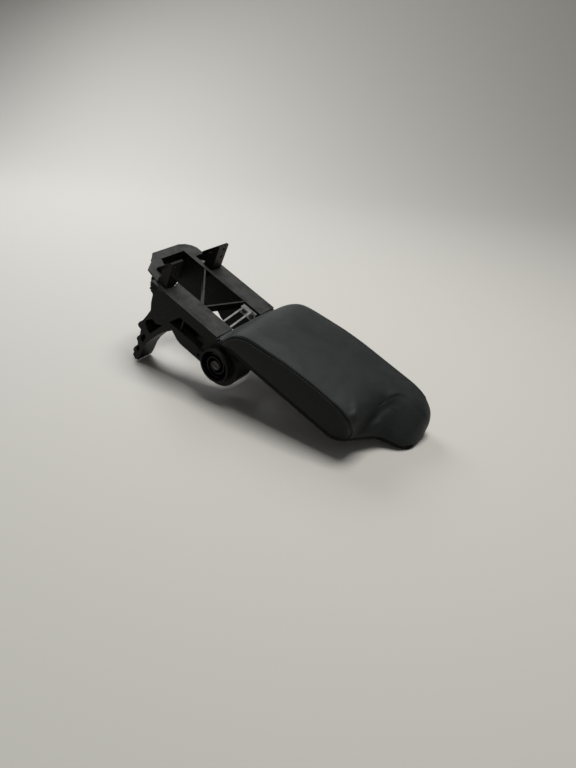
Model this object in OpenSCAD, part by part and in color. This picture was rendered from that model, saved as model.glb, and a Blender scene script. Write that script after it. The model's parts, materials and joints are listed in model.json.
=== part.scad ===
// Car centre armrest: a moulded carrier that stands at the rear of the tunnel console,
// with a padded armrest hinged at its top. X points forward, Y to the left and Z up.
// The origin is the centre of the four screw holes in the two steel lugs.
// The armrest is drawn raised, in line with the carrier.

/* [Carrier] */
// Width of the carrier over its side rails
carrier_w = 134; // [120:1:150]
// Width of each side rail
rail_w = 34; // [30:1:38]
// Depth of the rails, from the rear flange to the front edge
rail_d = 59; // [52:1:66]
// Distance from the lug screws forward to the rear flange
flange_x = 30; // [26:1:36]
// Height of the flange's top end above the lug screws
flange_top = 109.5; // [104:0.5:112]
// Distance from the lug screws down to the carrier's lower edge
carrier_drop = 72; // [66:1:80]
// Height of the lower cross member
sill_h = 16; // [12:1:20]
// Wall thickness of the moulding
wall = 3; // [2.4:0.2:3.6]
// Depth of the skirt round the lower end
skirt_d = 16; // [12:1:22]

/* [Windows] */
// Height of the window's lower end above the lug screws
window_z0 = 37; // [34:1:42]
// Height of the window's upper end above the lug screws
window_z1 = 96; // [90:1:98]
// Distance from the flange forward to the window
window_inset = 18; // [15:1:20]
// Depth of the window, front to back
window_d = 22; // [18:1:25]

/* [Legs] */
// Reach of the legs forward of the flange
leg_reach = 154; // [140:1:165]
// Width of a leg at its root
leg_root_w = 32; // [28:1:34]
// Width of a leg at its foot
leg_foot_w = 17; // [14:1:22]

/* [Hinge] */
// Distance from the flange forward to the hinge axis
hinge_dx = 38; // [37:0.5:41]
// Height of the hinge axis above the lug screws
hinge_z = 127; // [126:0.5:130]
// Radius of the hinge housings
housing_r = 34.5; // [32:0.5:35]
// Radius of the hinge shaft
shaft_r = 7; // [6:0.5:8]
// Running clearance of the shaft in its bushes
shaft_gap = 0.05; // [0.02:0.01:0.09]
// Wall thickness of a bush
bush_wall = 2.5; // [2:0.5:3]
// Outer radius of the brake drums
drum_r = 25.4; // [23:0.2:27]
// How far a drum stands out of the carrier's side
drum_proud = 10; // [6:1:14]
// Thickness of the brake spring strip
strip_t = 1.6; // [1.2:0.2:2]

/* [Lugs] */
// Width of a steel lug
lug_w = 21.5; // [19:0.5:24]
// Sheet thickness of a lug
lug_t = 3; // [2.5:0.5:3.5]
// Distance between the lug screws of one lug
lug_pitch = 14; // [12:1:16]
// Distance between the left and right lug screws
lug_span = 103; // [101:0.5:103]
// Radius of the lug screw holes
lug_hole_r = 2.75; // [2.25:0.25:3.25]
// How far a lug reaches behind its screw pattern
lug_tail = 14; // [12:1:18]

/* [Pad] */
// Width of the pad
pad_w = 143; // [137:1:150]
// Length of the pad along its underside
pad_l = 295; // [280:1:320]
// Thickness of the pad at its crown
pad_t = 55; // [50:1:60]
// Gap between the flange's end and the pad's lower lip
lip_gap = 0.8; // [0.6:0.1:2]
// Thickness of the cover
cover_t = 2.4; // [2:0.2:3]
// Radius of the piping along the seams
piping_r = 1.3; // [1:0.1:1.5]
// Width that the hand brake notch leaves at the nose
nose_w = 55; // [48:1:64]
// Length of the notch along the pad
notch_l = 65; // [55:1:72]
// Depth of the moulded base tray
tray_d = 10; // [9:0.5:11]

/* [Arms] */
// Thickness of a steel hinge arm
arm_t = 4; // [3:0.5:5]
// Distance between the outer faces of the hinge arms
arm_span = 60; // [54:1:62]
// Width of an arm's foot, along the pad
arm_foot_l = 54; // [46:1:60]
// Radius of the arm's eye round the shaft
eye_r = 15; // [13:0.5:16]

/* [Hidden] */

// Carrier
half_w = carrier_w / 2;
inner_y = half_w - rail_w;
rail_x1 = flange_x + rail_d;
hinge_x = flange_x + hinge_dx;
sill_z1 = -carrier_drop + sill_h;
band_step = 0.8;
chamfer_y = 19;
taper_z = 15;
waist_z = -23;
waist_in = 7;
rib_t = 2.4;
rib_d = 12;
seat_x = flange_x + 10;
lip_w = 6;
rail_top = hinge_z - 15;

// Hinge
bush_r = shaft_r + shaft_gap + bush_wall;
web_y = inner_y + 7;
drum_y0 = web_y;
drum_y1 = half_w + drum_proud;
drum_wall = 3;
drum_floor = 3;
washer_t = 1.2;
spring_h = 9;
spring_turns = 0.85;
spring_r = drum_r - drum_wall - 3.4;
shaft_end = drum_y1 - 3.5;
shaft_slot = strip_t + 0.3;
slot_depth = spring_h + 3;
drum_screw_r = 2;
drum_screw_ring = 17;

// Lugs
lug_y0 = lug_span / 2 - lug_w / 2 + 1.75;
lug_short = 18;
lug_long = 39;
rivet_r = 2.4;
rivet_head_r = 4.2;
rivet_z = [-10, -25];

// Pad
pad_x1 = flange_x + 2;
pad_x0 = pad_x1 - pad_t;
pad_z0 = flange_top + lip_gap;
pad_z1 = pad_z0 + pad_l;
half_pad = pad_w / 2;
seam_gap = 2 * piping_r + 0.5;
soft_gap = 0.5;
rim_h = 5;
tray_wall = 2.6;
boss_r = 6;
tray_screw_r = 1.75;
screw_sink_r = 4.2;
plate_t = 2;
plate_w = 84;
plate_l = 150;

// Arms
arm_y1 = arm_span / 2;
foot_w = 20;
foot_x0 = pad_x1 + 0.2;
swing = 90;
arm_z0 = hinge_z - 9;
arm_screw_r = 2.5;
arm_screw_z = [arm_z0 + 23, arm_z0 + arm_foot_l - 9];
pin_r = 2;
pin_l = eye_r * 2 - 3;

steel = [0.42, 0.43, 0.45];
zinc = [0.80, 0.81, 0.80];
plastic = [0.12, 0.12, 0.125];
leather = [0.17, 0.175, 0.18];

// A flat outline in X and Z, made a slab from y0 to y1
module side_slab(y0, y1) {
    translate([0, y1, 0]) rotate([90, 0, 0]) linear_extrude(y1 - y0) children();
}

// A flat outline in Y and Z, made a slab from x0 to x1
module rear_slab(x0, x1) {
    translate([x0, 0, 0]) rotate([90, 0, 90]) linear_extrude(x1 - x0) children();
}

// A cylinder along Y
module y_rod(r, y0, y1, x = 0, z = 0) {
    translate([x, y1, z]) rotate([90, 0, 0]) cylinder(r = r, h = y1 - y0, $fn = 64);
}

// A cylinder along X
module x_rod(r, x0, x1, y = 0, z = 0) {
    translate([x0, y, z]) rotate([0, 90, 0]) cylinder(r = r, h = x1 - x0, $fn = 48);
}

function lerp(a, b, t) = a + (b - a) * t;

// Padded body of the armrest. Stations run along the pad and columns across it.
notch_z = pad_z1 - notch_l;
nose_y = half_pad - nose_w;
crown_tab = [
    [0, 0.03], [0.022, 0.11], [0.052, 0.4], [0.093, 0.655], [0.133, 0.8], [0.184, 0.864],
    [0.294, 0.927], [0.443, 0.982], [0.592, 1], [0.8, 1], [0.86, 0.965], [0.907, 0.89],
    [0.955, 0.75], [0.982, 0.58], [0.996, 0.39], [1, 0.29]
];
rear_tab = [
    [0, 0.015], [0.038, 0.073], [0.058, 0.29], [0.097, 0.545], [0.138, 0.673],
    [0.267, 0.8], [0.399, 0.905]
];
right_edge_tab = concat(rear_tab, [
    [0.533, 0.95], [0.653, 0.925], [0.728, 0.818], [0.773, 0.7], [0.85, 0.673],
    [0.914, 0.6], [0.955, 0.51], [0.982, 0.38], [0.996, 0.26], [1, 0.21]
]);
left_edge_tab = concat(rear_tab, [
    [0.533, 0.94], [0.8, 0.94], [0.86, 0.9], [0.907, 0.81], [0.955, 0.65], [0.982, 0.48],
    [0.996, 0.3], [1, 0.21]
]);
// Half width of the rear end, less the pad's half width, by distance along the pad
end_tab = [[0, 11.5], [3, 7], [10, 2], [20, 0]];
// Right outline at the top of the side
right_tab = concat([for (e = end_tab) [pad_z0 + e[0], e[1] - half_pad]], [
    [notch_z - 14, -half_pad], [notch_z - 8, 2.5 - half_pad], [notch_z - 4, 7.5 - half_pad],
    [notch_z - 1.5, 16.5 - half_pad], [notch_z, 29.5 - half_pad], [notch_z + 1.2, nose_y - 42],
    [notch_z + 2.6, nose_y - 25], [notch_z + 5, nose_y - 13], [notch_z + 9, nose_y - 7],
    [notch_z + 15, nose_y - 3], [notch_z + 24, nose_y], [notch_z + 38, nose_y + 2],
    [pad_z1 - 14, nose_y + 5], [pad_z1 - 6, nose_y + 11], [pad_z1 - 1.2, nose_y + 17],
    [pad_z1, nose_y + 21]
]);
// Right outline at the foot of the side, where the notch is shallower
right_low_tab = concat([for (e = end_tab) [pad_z0 + e[0], e[1] - half_pad]], [
    [notch_z - 26, -half_pad], [notch_z - 18, 1.5 - half_pad], [notch_z - 11, 6 - half_pad],
    [notch_z - 4, 14 - half_pad], [notch_z + 2.6, 25 - half_pad], [notch_z + 9, nose_y - 51],
    [notch_z + 15, nose_y - 41], [notch_z + 20, nose_y - 33], [notch_z + 24, nose_y - 29],
    [notch_z + 31, nose_y - 24], [notch_z + 38, nose_y - 21], [pad_z1 - 14, nose_y - 15],
    [pad_z1 - 6, nose_y - 9], [pad_z1 - 1.2, nose_y - 3], [pad_z1, nose_y + 1]
]);
left_tab = concat([for (e = end_tab) [pad_z0 + e[0], half_pad - e[1]]], [
    [pad_z1 - 24, half_pad], [pad_z1 - 12, half_pad - 3], [pad_z1 - 6, half_pad - 7.5],
    [pad_z1 - 1.2, half_pad - 14], [pad_z1, half_pad - 18]
]);
stations = concat(
    [for (d = [0, 3, 6.5, 10, 15, 20, 28, 40, 55, 85, 125]) pad_z0 + d],
    [for (d = [-60, -26, -18, -14, -11, -8, -4, -1.5, 0, 1.2, 2.6, 5, 9, 15, 20, 24, 31, 38]) notch_z + d],
    [for (d = [-14, -9, -6, -3, -1.2, 0]) pad_z1 + d]
);
columns = concat(
    [for (d = [0, 3, 8, 16, 28, 44]) d - half_pad],
    [for (d = [-16, -6, 8, 24]) nose_y + d],
    [for (d = [14, 7, 2.5, 0]) half_pad - d]
);
last_col = len(columns) - 1;
crowd = 0.6;
edge_r = 24;
edge_lead = 6;

function pad_f(z) = (z - pad_z0) / pad_l;
function crown_x(z) = pad_x1 - pad_t * lookup(pad_f(z), crown_tab);
function right_edge_x(z) = pad_x1 - pad_t * lookup(pad_f(z), right_edge_tab);
function left_edge_x(z) = pad_x1 - pad_t * lookup(pad_f(z), left_edge_tab);
function right_y(z) = lookup(z, right_tab);
function right_low_y(z) = lookup(z, right_low_tab);
function left_y(z) = lookup(z, left_tab);
function wall_gap(y, z) = norm([max(y - nose_y + 14, 0), max(notch_z - z, 0)]);
function edge_gap(y, z) = max(0, min(left_y(z) - y, y - right_y(z), wall_gap(y, z)));
function bulge(d) = sqrt(1 - pow(1 - min((d + edge_lead) / (edge_r + edge_lead), 1), 2));
function round_off(d) = (bulge(d) - bulge(0)) / (1 - bulge(0));
function edge_x(u, z) = lerp(right_edge_x(z), left_edge_x(z), u * u * (3 - 2 * u));
function column_y(j, z) =
    max(right_y(z) + crowd * j, min(columns[j], left_y(z) - crowd * (last_col - j)));
function across(y, z) = (y - right_y(z)) / (left_y(z) - right_y(z));
function top_x(u, y, z) = lerp(edge_x(u, z), crown_x(z), round_off(edge_gap(y, z)));
function shift_z(z, t) = z + t * max(-1, min(1, (pad_z0 + pad_l / 2 - z) / 60));
function foot_x(edge, t) = max(pad_x1 - tray_d, edge + t + 0.5);

// The padded body's outer form, drawn in by t all round, with its underside at x1
module pad_form(t, x1) {
    n = len(stations);
    m = len(columns) + 4;
    // One ring of points a station: underside, foot of the left side, top, foot of the right side
    rings = [
        for (z = stations)
            let (zi = shift_z(z, t), yl = left_y(z) - t, yf = right_low_y(z) + t)
            each concat(
                [[x1, yf, zi], [foot_x(right_edge_x(z), t), yf, zi]],
                [
                    for (j = [0:last_col])
                        let (y = column_y(j, z), u = across(y, z))
                        [top_x(u, y, z) + t, y + t * (1 - 2 * u), zi]
                ],
                [[foot_x(left_edge_x(z), t), yl, zi], [x1, yl, zi]]
            )
    ];
    sides = [
        for (i = [0:n - 2])
            for (j = [0:m - 1])
                let (a = i * m + j, b = i * m + (j + 1) % m)
                each [[a, b, b + m], [a, b + m, a + m]]
    ];
    // Each end is a fan about a point close to the underside
    hubs = [
        for (z = [stations[0], stations[n - 1]])
            [x1 - 0.1, (right_low_y(z) + left_y(z)) / 2, shift_z(z, t)]
    ];
    ends = [
        for (j = [0:m - 1])
            let (k = (j + 1) % m, last = (n - 1) * m)
            each [[k, j, n * m], [last + j, last + k, n * m + 1]]
    ];
    polyhedron(points = concat(rings, hubs), faces = concat(sides, ends));
}

// Outline of a side panel in X and Z, grown by g: the seam follows the pad's edge, then
// turns down to the base tray at its front end
module panel_outline(right, g) {
    offset(delta = g)
        polygon(concat(
            [[pad_x1 + 30, seam_z0]],
            [for (p = seam_line(right)) [p[0], p[1]]],
            [[pad_x1 + 30, right ? right_tip_z : left_tip_z]]
        ));
}

function seam_line(right) =
    let (end_z = right ? right_tip_z : left_tip_z)
    concat(
        [for (z = seam_stations) if (z < end_z - 8) [right ? right_edge_x(z) : left_edge_x(z), z]],
        [for (q = tip_tab) [pad_x1 - pad_t * q[1], end_z + q[0]]]
    );

// The region of a side panel
module panel_side(right, g) {
    y0 = right ? -half_pad - 20 : half_pad - 14 - g;
    reach = right ? 44 : 34;
    intersection() {
        side_slab(-half_pad - 20, half_pad + 20) panel_outline(right, g);
        translate([pad_x0 - 40, y0, pad_z0 - 10]) cube([pad_t + 90, reach + g, pad_l + 20]);
    }
}

// The pad's plan at its foot, drawn in by t, between two levels and forward of z0
module plan_slab(x0, x1, t, z0) {
    rear_slab(x0, x1) intersection() {
        polygon(concat(
            [for (z = stations) [right_low_y(z) + t, shift_z(z, t)]],
            [for (i = [len(stations) - 1:-1:0]) [left_y(stations[i]) - t, shift_z(stations[i], t)]]
        ));
        translate([-pad_w, z0]) square([2 * pad_w, pad_l]);
    }
}

// A round cord along a path of points
module cord(path, r, sides = 8) {
    n = len(path);
    function ahead(i) = path[min(i + 1, n - 1)] - path[max(i - 1, 0)];
    function side_dir(i) = let (c = cross(ahead(i), [0, 1, 0])) c / norm(c);
    function up_dir(i) = let (c = cross(side_dir(i), ahead(i))) c / norm(c);
    pts = [
        for (i = [0:n - 1])
            for (j = [0:sides - 1])
                path[i] + r * (cos(360 * j / sides) * side_dir(i) + sin(360 * j / sides) * up_dir(i))
    ];
    faces = [
        for (i = [0:n - 2])
            for (j = [0:sides - 1])
                let (a = i * sides + j, b = i * sides + (j + 1) % sides)
                each [[a, a + sides, b + sides], [a, b + sides, b]]
    ];
    caps = [[for (j = [0:sides - 1]) j], [for (j = [sides - 1:-1:0]) (n - 1) * sides + j]];
    polyhedron(points = pts, faces = concat(faces, caps));
}

hem_l = 8;
seam_out = 0.2;
seam_z0 = pad_z0 + hem_l;
right_tip_z = notch_z - 2;
left_tip_z = pad_z1 - 26;
tip_tab = [[-6.5, 0.69], [-3.4, 0.6], [-1, 0.44], [0, 0.26], [0, 0.12]];
seam_stations = [for (z = stations) if (z > seam_z0) z];

function side_y(x, z) =
    let (foot = foot_x(right_edge_x(z), 0), k = (foot - x) / (foot - right_edge_x(z)))
    lerp(right_low_y(z), right_y(z), max(0, min(1, k)));
right_path = [for (p = seam_line(true)) [p[0], side_y(p[0], p[1]) - seam_out, p[1]]];
left_path = [for (p = seam_line(false)) [p[0], left_y(p[1]) + seam_out, p[1]]];

// Lower corner of the right rail, cut away below the flange
corner_at = [[-half_w, waist_z + 27], [-half_w + 8.5, waist_z + 2]];
corner_d = 14;

// Outline of the flange in Y and Z, without the main opening
module flange_outline() {
    polygon([
        [half_w, flange_top], [-half_w, flange_top], corner_at[0], corner_at[1],
        [-half_w + 12, waist_z - 11], [-half_w + 15, waist_z - 23], [-half_w + 35, waist_z - 36],
        [-half_w + 48, -carrier_drop], [half_w - 30, -carrier_drop], [half_w - 18, 4 - carrier_drop],
        [half_w - 10, 11 - carrier_drop], [half_w - 6, 19 - carrier_drop], [half_w - 6, waist_z - 19],
        [half_w - 1, 10], [half_w, 24]
    ]);
}

// Main opening in Y and Z, grown by g
module opening_outline(g) {
    offset(delta = g)
        polygon([
            [inner_y, flange_top + 40], [-inner_y, flange_top + 40], [-inner_y, waist_z - 4],
            [9 - inner_y, waist_z - 11], [11 - inner_y, waist_z - 20], [17 - inner_y, sill_z1],
            [inner_y, sill_z1]
        ]);
}

// Side profile of a rail and its leg in X and Z
module rail_profile() {
    leg_x1 = flange_x + leg_reach;
    polygon([
        [flange_x, flange_top], [flange_x, -21], [flange_x + 4, -25], [flange_x + 5, -21],
        [flange_x + 16, -20], [flange_x + 18, -15], [flange_x + 34, -14], [flange_x + 47, -11],
        [rail_x1 + 2, -15], [leg_x1 - 79, -20], [leg_x1 - 72, -25], [leg_x1 - 65, -27],
        [leg_x1 - 62, -24], [leg_x1 - 61, -19], [leg_x1 - 51, -18], [leg_x1 - 42, -22],
        [leg_x1 - 38, -22], [leg_x1 - 36, -19], [leg_x1 - 30, -17], [leg_x1 - 20, -22],
        [leg_x1 - 14, -23], [leg_x1 - 11, -20], [leg_x1 - 5, -21], [leg_x1, -15],
        [leg_x1 - 2, -9], [leg_x1 - 12, -7], [leg_x1 - 33, -5], [leg_x1 - 47, -1],
        [leg_x1 - 58, 4], [leg_x1 - 77, 14], [rail_x1 + 6, 22], [rail_x1 - 2, 29],
        [rail_x1 - 10, 36], [rail_x1 - 2, 49], [rail_x1, 57], [rail_x1, rail_top],
        [hinge_x - 15, rail_top], [pad_x1 + 1, rail_top], [pad_x1 + 1, flange_top]
    ]);
}

// The part of a rail that is not leg, in X and Z
module rail_box(g) {
    top = min(flange_top, rail_top - wall) - 1;
    offset(delta = -g)
        polygon([
            [flange_x, top + g], [flange_x, -21], [flange_x + 16, -20],
            [flange_x + 47, -11], [rail_x1 + 2, -15], [rail_x1 + 2, 24],
            [rail_x1 - 10, 36], [rail_x1 - 2, 49], [rail_x1 + g + 0.01, 57],
            [rail_x1 + g + 0.01, top + g]
        ]);
}

// Window in the outer wall, in X and Z, grown by g
module window_outline(g) {
    wx0 = flange_x + window_inset;
    wx1 = wx0 + window_d;
    offset(delta = g)
        polygon([
            [wx1, window_z0 - 10], [wx1, window_z1], [wx0 + 6, window_z1], [wx0, window_z1 - 4],
            [wx0, window_z0 + 5]
        ]);
}

// Plan of a leg in X and Y, with its inner face moved out by g
module leg_plan(g) {
    leg_x1 = flange_x + leg_reach;
    polygon([
        [flange_x + 30, half_w - leg_root_w + g], [rail_x1 + 6, half_w - leg_root_w + g],
        [leg_x1 - 40, half_w - leg_foot_w - 4 + g], [leg_x1 + 2, half_w - leg_foot_w + g],
        [leg_x1 + 2, half_w + 5 * g], [flange_x + 30, half_w + 5 * g]
    ]);
}

// Pockets in the outer face of a leg, in X and Z
module leg_pockets() {
    leg_x1 = flange_x + leg_reach;
    polygon([
        [leg_x1 - 95, -4], [leg_x1 - 83, -15], [leg_x1 - 75, -13], [leg_x1 - 67, -4],
        [leg_x1 - 69, 1], [leg_x1 - 83, 8], [leg_x1 - 99, 17], [leg_x1 - 92, 5]
    ]);
    polygon([
        [leg_x1 - 51, -15], [leg_x1 - 59, -10], [leg_x1 - 55, -6], [leg_x1 - 41, -8],
        [leg_x1 - 43, -14]
    ]);
    polygon([
        [leg_x1 - 24, -18], [leg_x1 - 30, -13.5], [leg_x1 - 26, -11], [leg_x1 - 17, -13],
        [leg_x1 - 18, -17]
    ]);
}

// Half section of a hinge housing, radius by height from the inner face outward
module housing_section() {
    seat_r = drum_r + 0.4;
    polygon([
        [bush_r, 0], [housing_r, 0], [housing_r, rail_w], [seat_r, rail_w],
        [seat_r, rail_w - 9], [bush_r, rail_w - 9]
    ]);
}

// Hollow between the housing's walls, open where the rail comes in
module housing_hollow() {
    core = bush_r + 3.5;
    seat_r = drum_r + 0.4;
    polygon([
        [core, wall], [housing_r - wall, wall], [housing_r - wall, rail_w - wall],
        [seat_r + 2.6, rail_w - wall], [seat_r + 2.6, rail_w - 12], [core, rail_w - 12]
    ]);
}

// Revolves a section about the hinge axis, with its base on the rail's inner face
module about_hinge() {
    translate([hinge_x, inner_y, hinge_z]) rotate([-90, 0, 0])
        rotate_extrude($fn = 64) children();
}

// Places of the two stops beside the hinge, as X and Z off the axis. Each lies against
// one edge of the hinge arm at an end of its swing.
stop_r = 4.5;
stop_post_r = 2.6;
stop_gap = 0.4;
arm_lo = [foot_x0 - hinge_x, arm_z0 - hinge_z];
arm_hi = [foot_x0 + arm_t - hinge_x, arm_z0 + arm_foot_l - hinge_z];
lo_dir = atan2(arm_lo[1], arm_lo[0]) + acos(eye_r / norm(arm_lo));
hi_dir = atan2(arm_hi[1], arm_hi[0]) - acos(eye_r / norm(arm_hi)) - swing;
function stop_at(dir, along) =
    (eye_r + stop_r + stop_gap) * [cos(dir), sin(dir)] + along * [-sin(dir), cos(dir)];
stops = [stop_at(hi_dir, 16), stop_at(lo_dir, -18)];
stop_y0 = arm_y1 - arm_t - 0.5;

// One side of the carrier, drawn on the left
module carrier_side() {
    // Outer wall, inner wall and leg
    difference() {
        union() {
            side_slab(half_w - wall, half_w) rail_profile();
            side_slab(inner_y, inner_y + wall) difference() {
                rail_profile();
                translate([rail_x1 + 1, -60]) square([leg_reach, 120]);
            }
            // Return round the rail between its two walls
            side_slab(inner_y + wall - 0.1, half_w - wall + 0.1) difference() {
                rail_profile();
                rail_box(wall);
            }
            // Frame round the window
            side_slab(half_w - 13, half_w - wall + 0.1) intersection() {
                window_outline(2.4);
                rail_profile();
            }
            // Leg, hollowed from its outer face by the pockets
            intersection() {
                side_slab(inner_y, half_w) difference() {
                    rail_profile();
                    translate([flange_x - 10, -80]) square([rail_d + 9, 260]);
                }
                translate([0, 0, -60]) linear_extrude(120) leg_plan(0);
            }
        }
        side_slab(half_w - 14, half_w + 1) window_outline(0);
        intersection() {
            side_slab(inner_y + wall, half_w + 1) leg_pockets();
            translate([0, 0, -60]) linear_extrude(120) leg_plan(wall);
        }
        y_rod(drum_r + 0.4, half_w - 9, half_w + 1, hinge_x, hinge_z);
        // Step across the lower part of the outer wall
        translate([flange_x + 19, half_w - band_step, -60]) cube([rail_d + leg_reach, 5, 86]);
    }
    // Bar across the window
    side_slab(half_w - 6, half_w - wall + 1)
        translate([flange_x + window_inset - 1, window_z0 + 10]) square([window_d + 2, 2.4]);
    // Hinge housing, open to the rail
    difference() {
        about_hinge() housing_section();
        difference() {
            about_hinge() housing_hollow();
            side_slab(inner_y, half_w) {
                translate([hinge_x - 2, hinge_z]) square([4, housing_r]);
                translate([hinge_x, hinge_z - 2]) square([housing_r, 4]);
                translate([hinge_x - housing_r, hinge_z - 2]) square([housing_r, 4]);
            }
        }
        side_slab(inner_y + wall, half_w - wall)
            translate([flange_x + wall + 2, flange_top - 25]) square([rail_d - 2 * wall - 1, 14]);
        for (a = [0, 120, 240])
            y_rod(
                drum_screw_r - 0.3, half_w - 12.5, half_w + 1,
                hinge_x + drum_screw_ring * cos(a + 90), hinge_z + drum_screw_ring * sin(a + 90)
            );
    }
    // Posts for the stops
    for (s = stops)
        y_rod(stop_post_r, stop_y0, inner_y + 1, hinge_x + s[0], hinge_z + s[1]);
}

// Plan of the recess behind a lug, in Y and Z
base_y = [3, 18];
lug_mid = (base_y[0] + base_y[1]) / 2;
module lug_recess(y0) {
    translate([y0 + base_y[0] - 0.5, -recess_l]) square([base_y[1] - base_y[0] + 1, recess_l + 0.6]);
}
lug_base_l = 32;
recess_l = 38;

module carrier_frame() {
    color(plastic) difference() {
        union() {
            // Flange with the two recesses and the opening
            rear_slab(flange_x, flange_x + wall) difference() {
                flange_outline();
                opening_outline(0);
            }
            // Walls round the lower end of the opening
            rear_slab(flange_x, rail_x1) difference() {
                intersection() {
                    opening_outline(wall);
                    translate([-half_w, -carrier_drop]) square([carrier_w, carrier_drop + 6]);
                }
                opening_outline(0);
            }
            // Low skirt round the outer edge of the lower end
            rear_slab(flange_x, flange_x + skirt_d) difference() {
                intersection() {
                    flange_outline();
                    translate([10 - half_w, -carrier_drop]) square([carrier_w, carrier_drop - 22]);
                }
                offset(delta = -wall) flange_outline();
                translate([-half_w, -carrier_drop - 1]) square([49, carrier_drop]);
            }
            // Seats for the lugs
            rear_slab(seat_x, seat_x + wall) {
                translate([inner_y + 1, -43]) square([rail_w - 8, 46]);
                polygon([
                    [8.5 - half_w, 3], [8.5 - half_w, -29], [17 - half_w, -38],
                    [-inner_y - 1, -41], [-inner_y - 1, 3]
                ]);
            }
            // Thick corner under the flange, left of the right lug
            translate([flange_x, -half_w, waist_z]) cube([corner_d, 9, 27]);
            // Struts between the rails
            strut([-inner_y - 1, 51], [inner_y + 1, -9]);
            strut([-inner_y - 1, 54], [inner_y + 1, 76]);
            carrier_side();
            mirror([0, 1, 0]) carrier_side();
        }
        // Recesses down to the seats
        rear_slab(flange_x - 1, seat_x) {
            lug_recess(left_lug_y);
            polygon([
                [right_lug_y + base_y[0] - 0.5, 0.6], [right_lug_y + base_y[0] - 0.5, -20.5],
                [right_lug_y + base_y[1] - 1, -27.5], [right_lug_y + base_y[1] + 5.5, -38.5],
                [-inner_y + 7.5, -34], [-inner_y + 1, -3], [right_lug_y + base_y[1] + 0.5, 0.6]
            ]);
        }
        // Pocket for the lug's foot under the flange
        rear_slab(flange_x + wall, seat_x) lug_recess(right_lug_y);
        // Slanted face of the thick corner
        hull()
            for (q = [
                [flange_x, corner_at[0][0], corner_at[0][1]], [flange_x, corner_at[1][0], corner_at[1][1]],
                [flange_x + corner_d, -half_w, waist_z], [flange_x - 2, -half_w - 3, corner_at[0][1]],
                [flange_x - 2, corner_at[1][0], waist_z - 1], [flange_x + corner_d, -half_w - 3, waist_z - 1]
            ])
                translate(q) cube(0.01, center = true);
        for (y = [left_lug_y, right_lug_y])
            for (z = rivet_z) {
                x_rod(rivet_r, seat_x - 1, seat_x + wall + 1, y + lug_mid, z);
                x_rod(rivet_head_r + 0.5, seat_x + wall, seat_x + wall + 3, y + lug_mid, z);
            }
        // Holes for the screws of the tie frame
        for (s = [-1, 1])
            for (z = tie_screw_z)
                y_rod(tie_screw_r - 0.3, min(s * (inner_y - 1), s * (inner_y + wall + 1)),
                    max(s * (inner_y - 1), s * (inner_y + wall + 1)), tie_screw_x, z);
    }
}

// A thin strut at the flange, from one point in Y and Z to another
module strut(p, q) {
    d = (q - p) / norm(q - p);
    n = [-d[1], d[0]] * rib_t / 2;
    rear_slab(flange_x + 1, flange_x + 1 + rib_d) polygon([p + n, p - n, q - n, q + n]);
}

// Lugs
left_lug_y = lug_span / 2 - lug_w / 2 - 1.75;
right_lug_y = -lug_span / 2 - lug_w / 2 + 1.75;

// Tie frame between the rails: two slanted bars with a plate at each end
tie_t = 2;
tie_x = flange_x + 4;
tie_depth = 16;
tie_z = [85.5, 99];
tie_bar_h = 2.8;
tie_rise = 3.9;
tie_plate_z = [tie_z[0] - 8, tie_z[1] + 5.2];
tie_screw_r = 2.1;
tie_screw_x = tie_x + 10;
tie_screw_z = [tie_z[0] - 2, tie_z[1] - 1];

module tie_frame() {
    y1 = inner_y - 0.3;
    h = tie_bar_h / 2;
    color(zinc) difference() {
        union() {
            for (s = [-1, 1])
                translate([tie_x, s > 0 ? y1 - tie_t : -y1, tie_plate_z[0]])
                    cube([tie_depth, tie_t, tie_plate_z[1] - tie_plate_z[0]]);
            for (z = tie_z)
                rear_slab(tie_x, tie_x + tie_t) polygon([
                    [-y1, z + tie_rise - h], [y1, z - tie_rise - h],
                    [y1, z - tie_rise + h], [-y1, z + tie_rise + h]
                ]);
            // Tab folded back at the left end
            translate([tie_x, y1 - 9, tie_plate_z[0] + 1]) cube([tie_t, 9, tie_z[1] - tie_z[0] + 4.5]);
        }
        for (s = [-1, 1])
            for (z = tie_screw_z)
                y_rod(tie_screw_r + 0.3, min(s * (y1 - tie_t - 1), s * (y1 + 1)),
                    max(s * (y1 - tie_t - 1), s * (y1 + 1)), tie_screw_x, z);
    }
}

// A pan-head screw along Y. The head's seat is at y, the shank runs outward by l.
module side_screw(s, y, x, z, r, l, head_r, head_h) {
    y_rod(head_r, min(s * (y - head_h), s * y), max(s * (y - head_h), s * y), x, z);
    y_rod(r, min(s * (y - 0.1), s * (y + l)), max(s * (y - 0.1), s * (y + l)), x, z);
}

module tie_screws() {
    y1 = inner_y - 0.3;
    color(steel)
        for (s = [-1, 1])
            for (z = tie_screw_z)
                side_screw(s, y1 - tie_t - 0.05, tie_screw_x, z, tie_screw_r - 0.35, wall + tie_t - 1, 3.6, 2);
}

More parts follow.
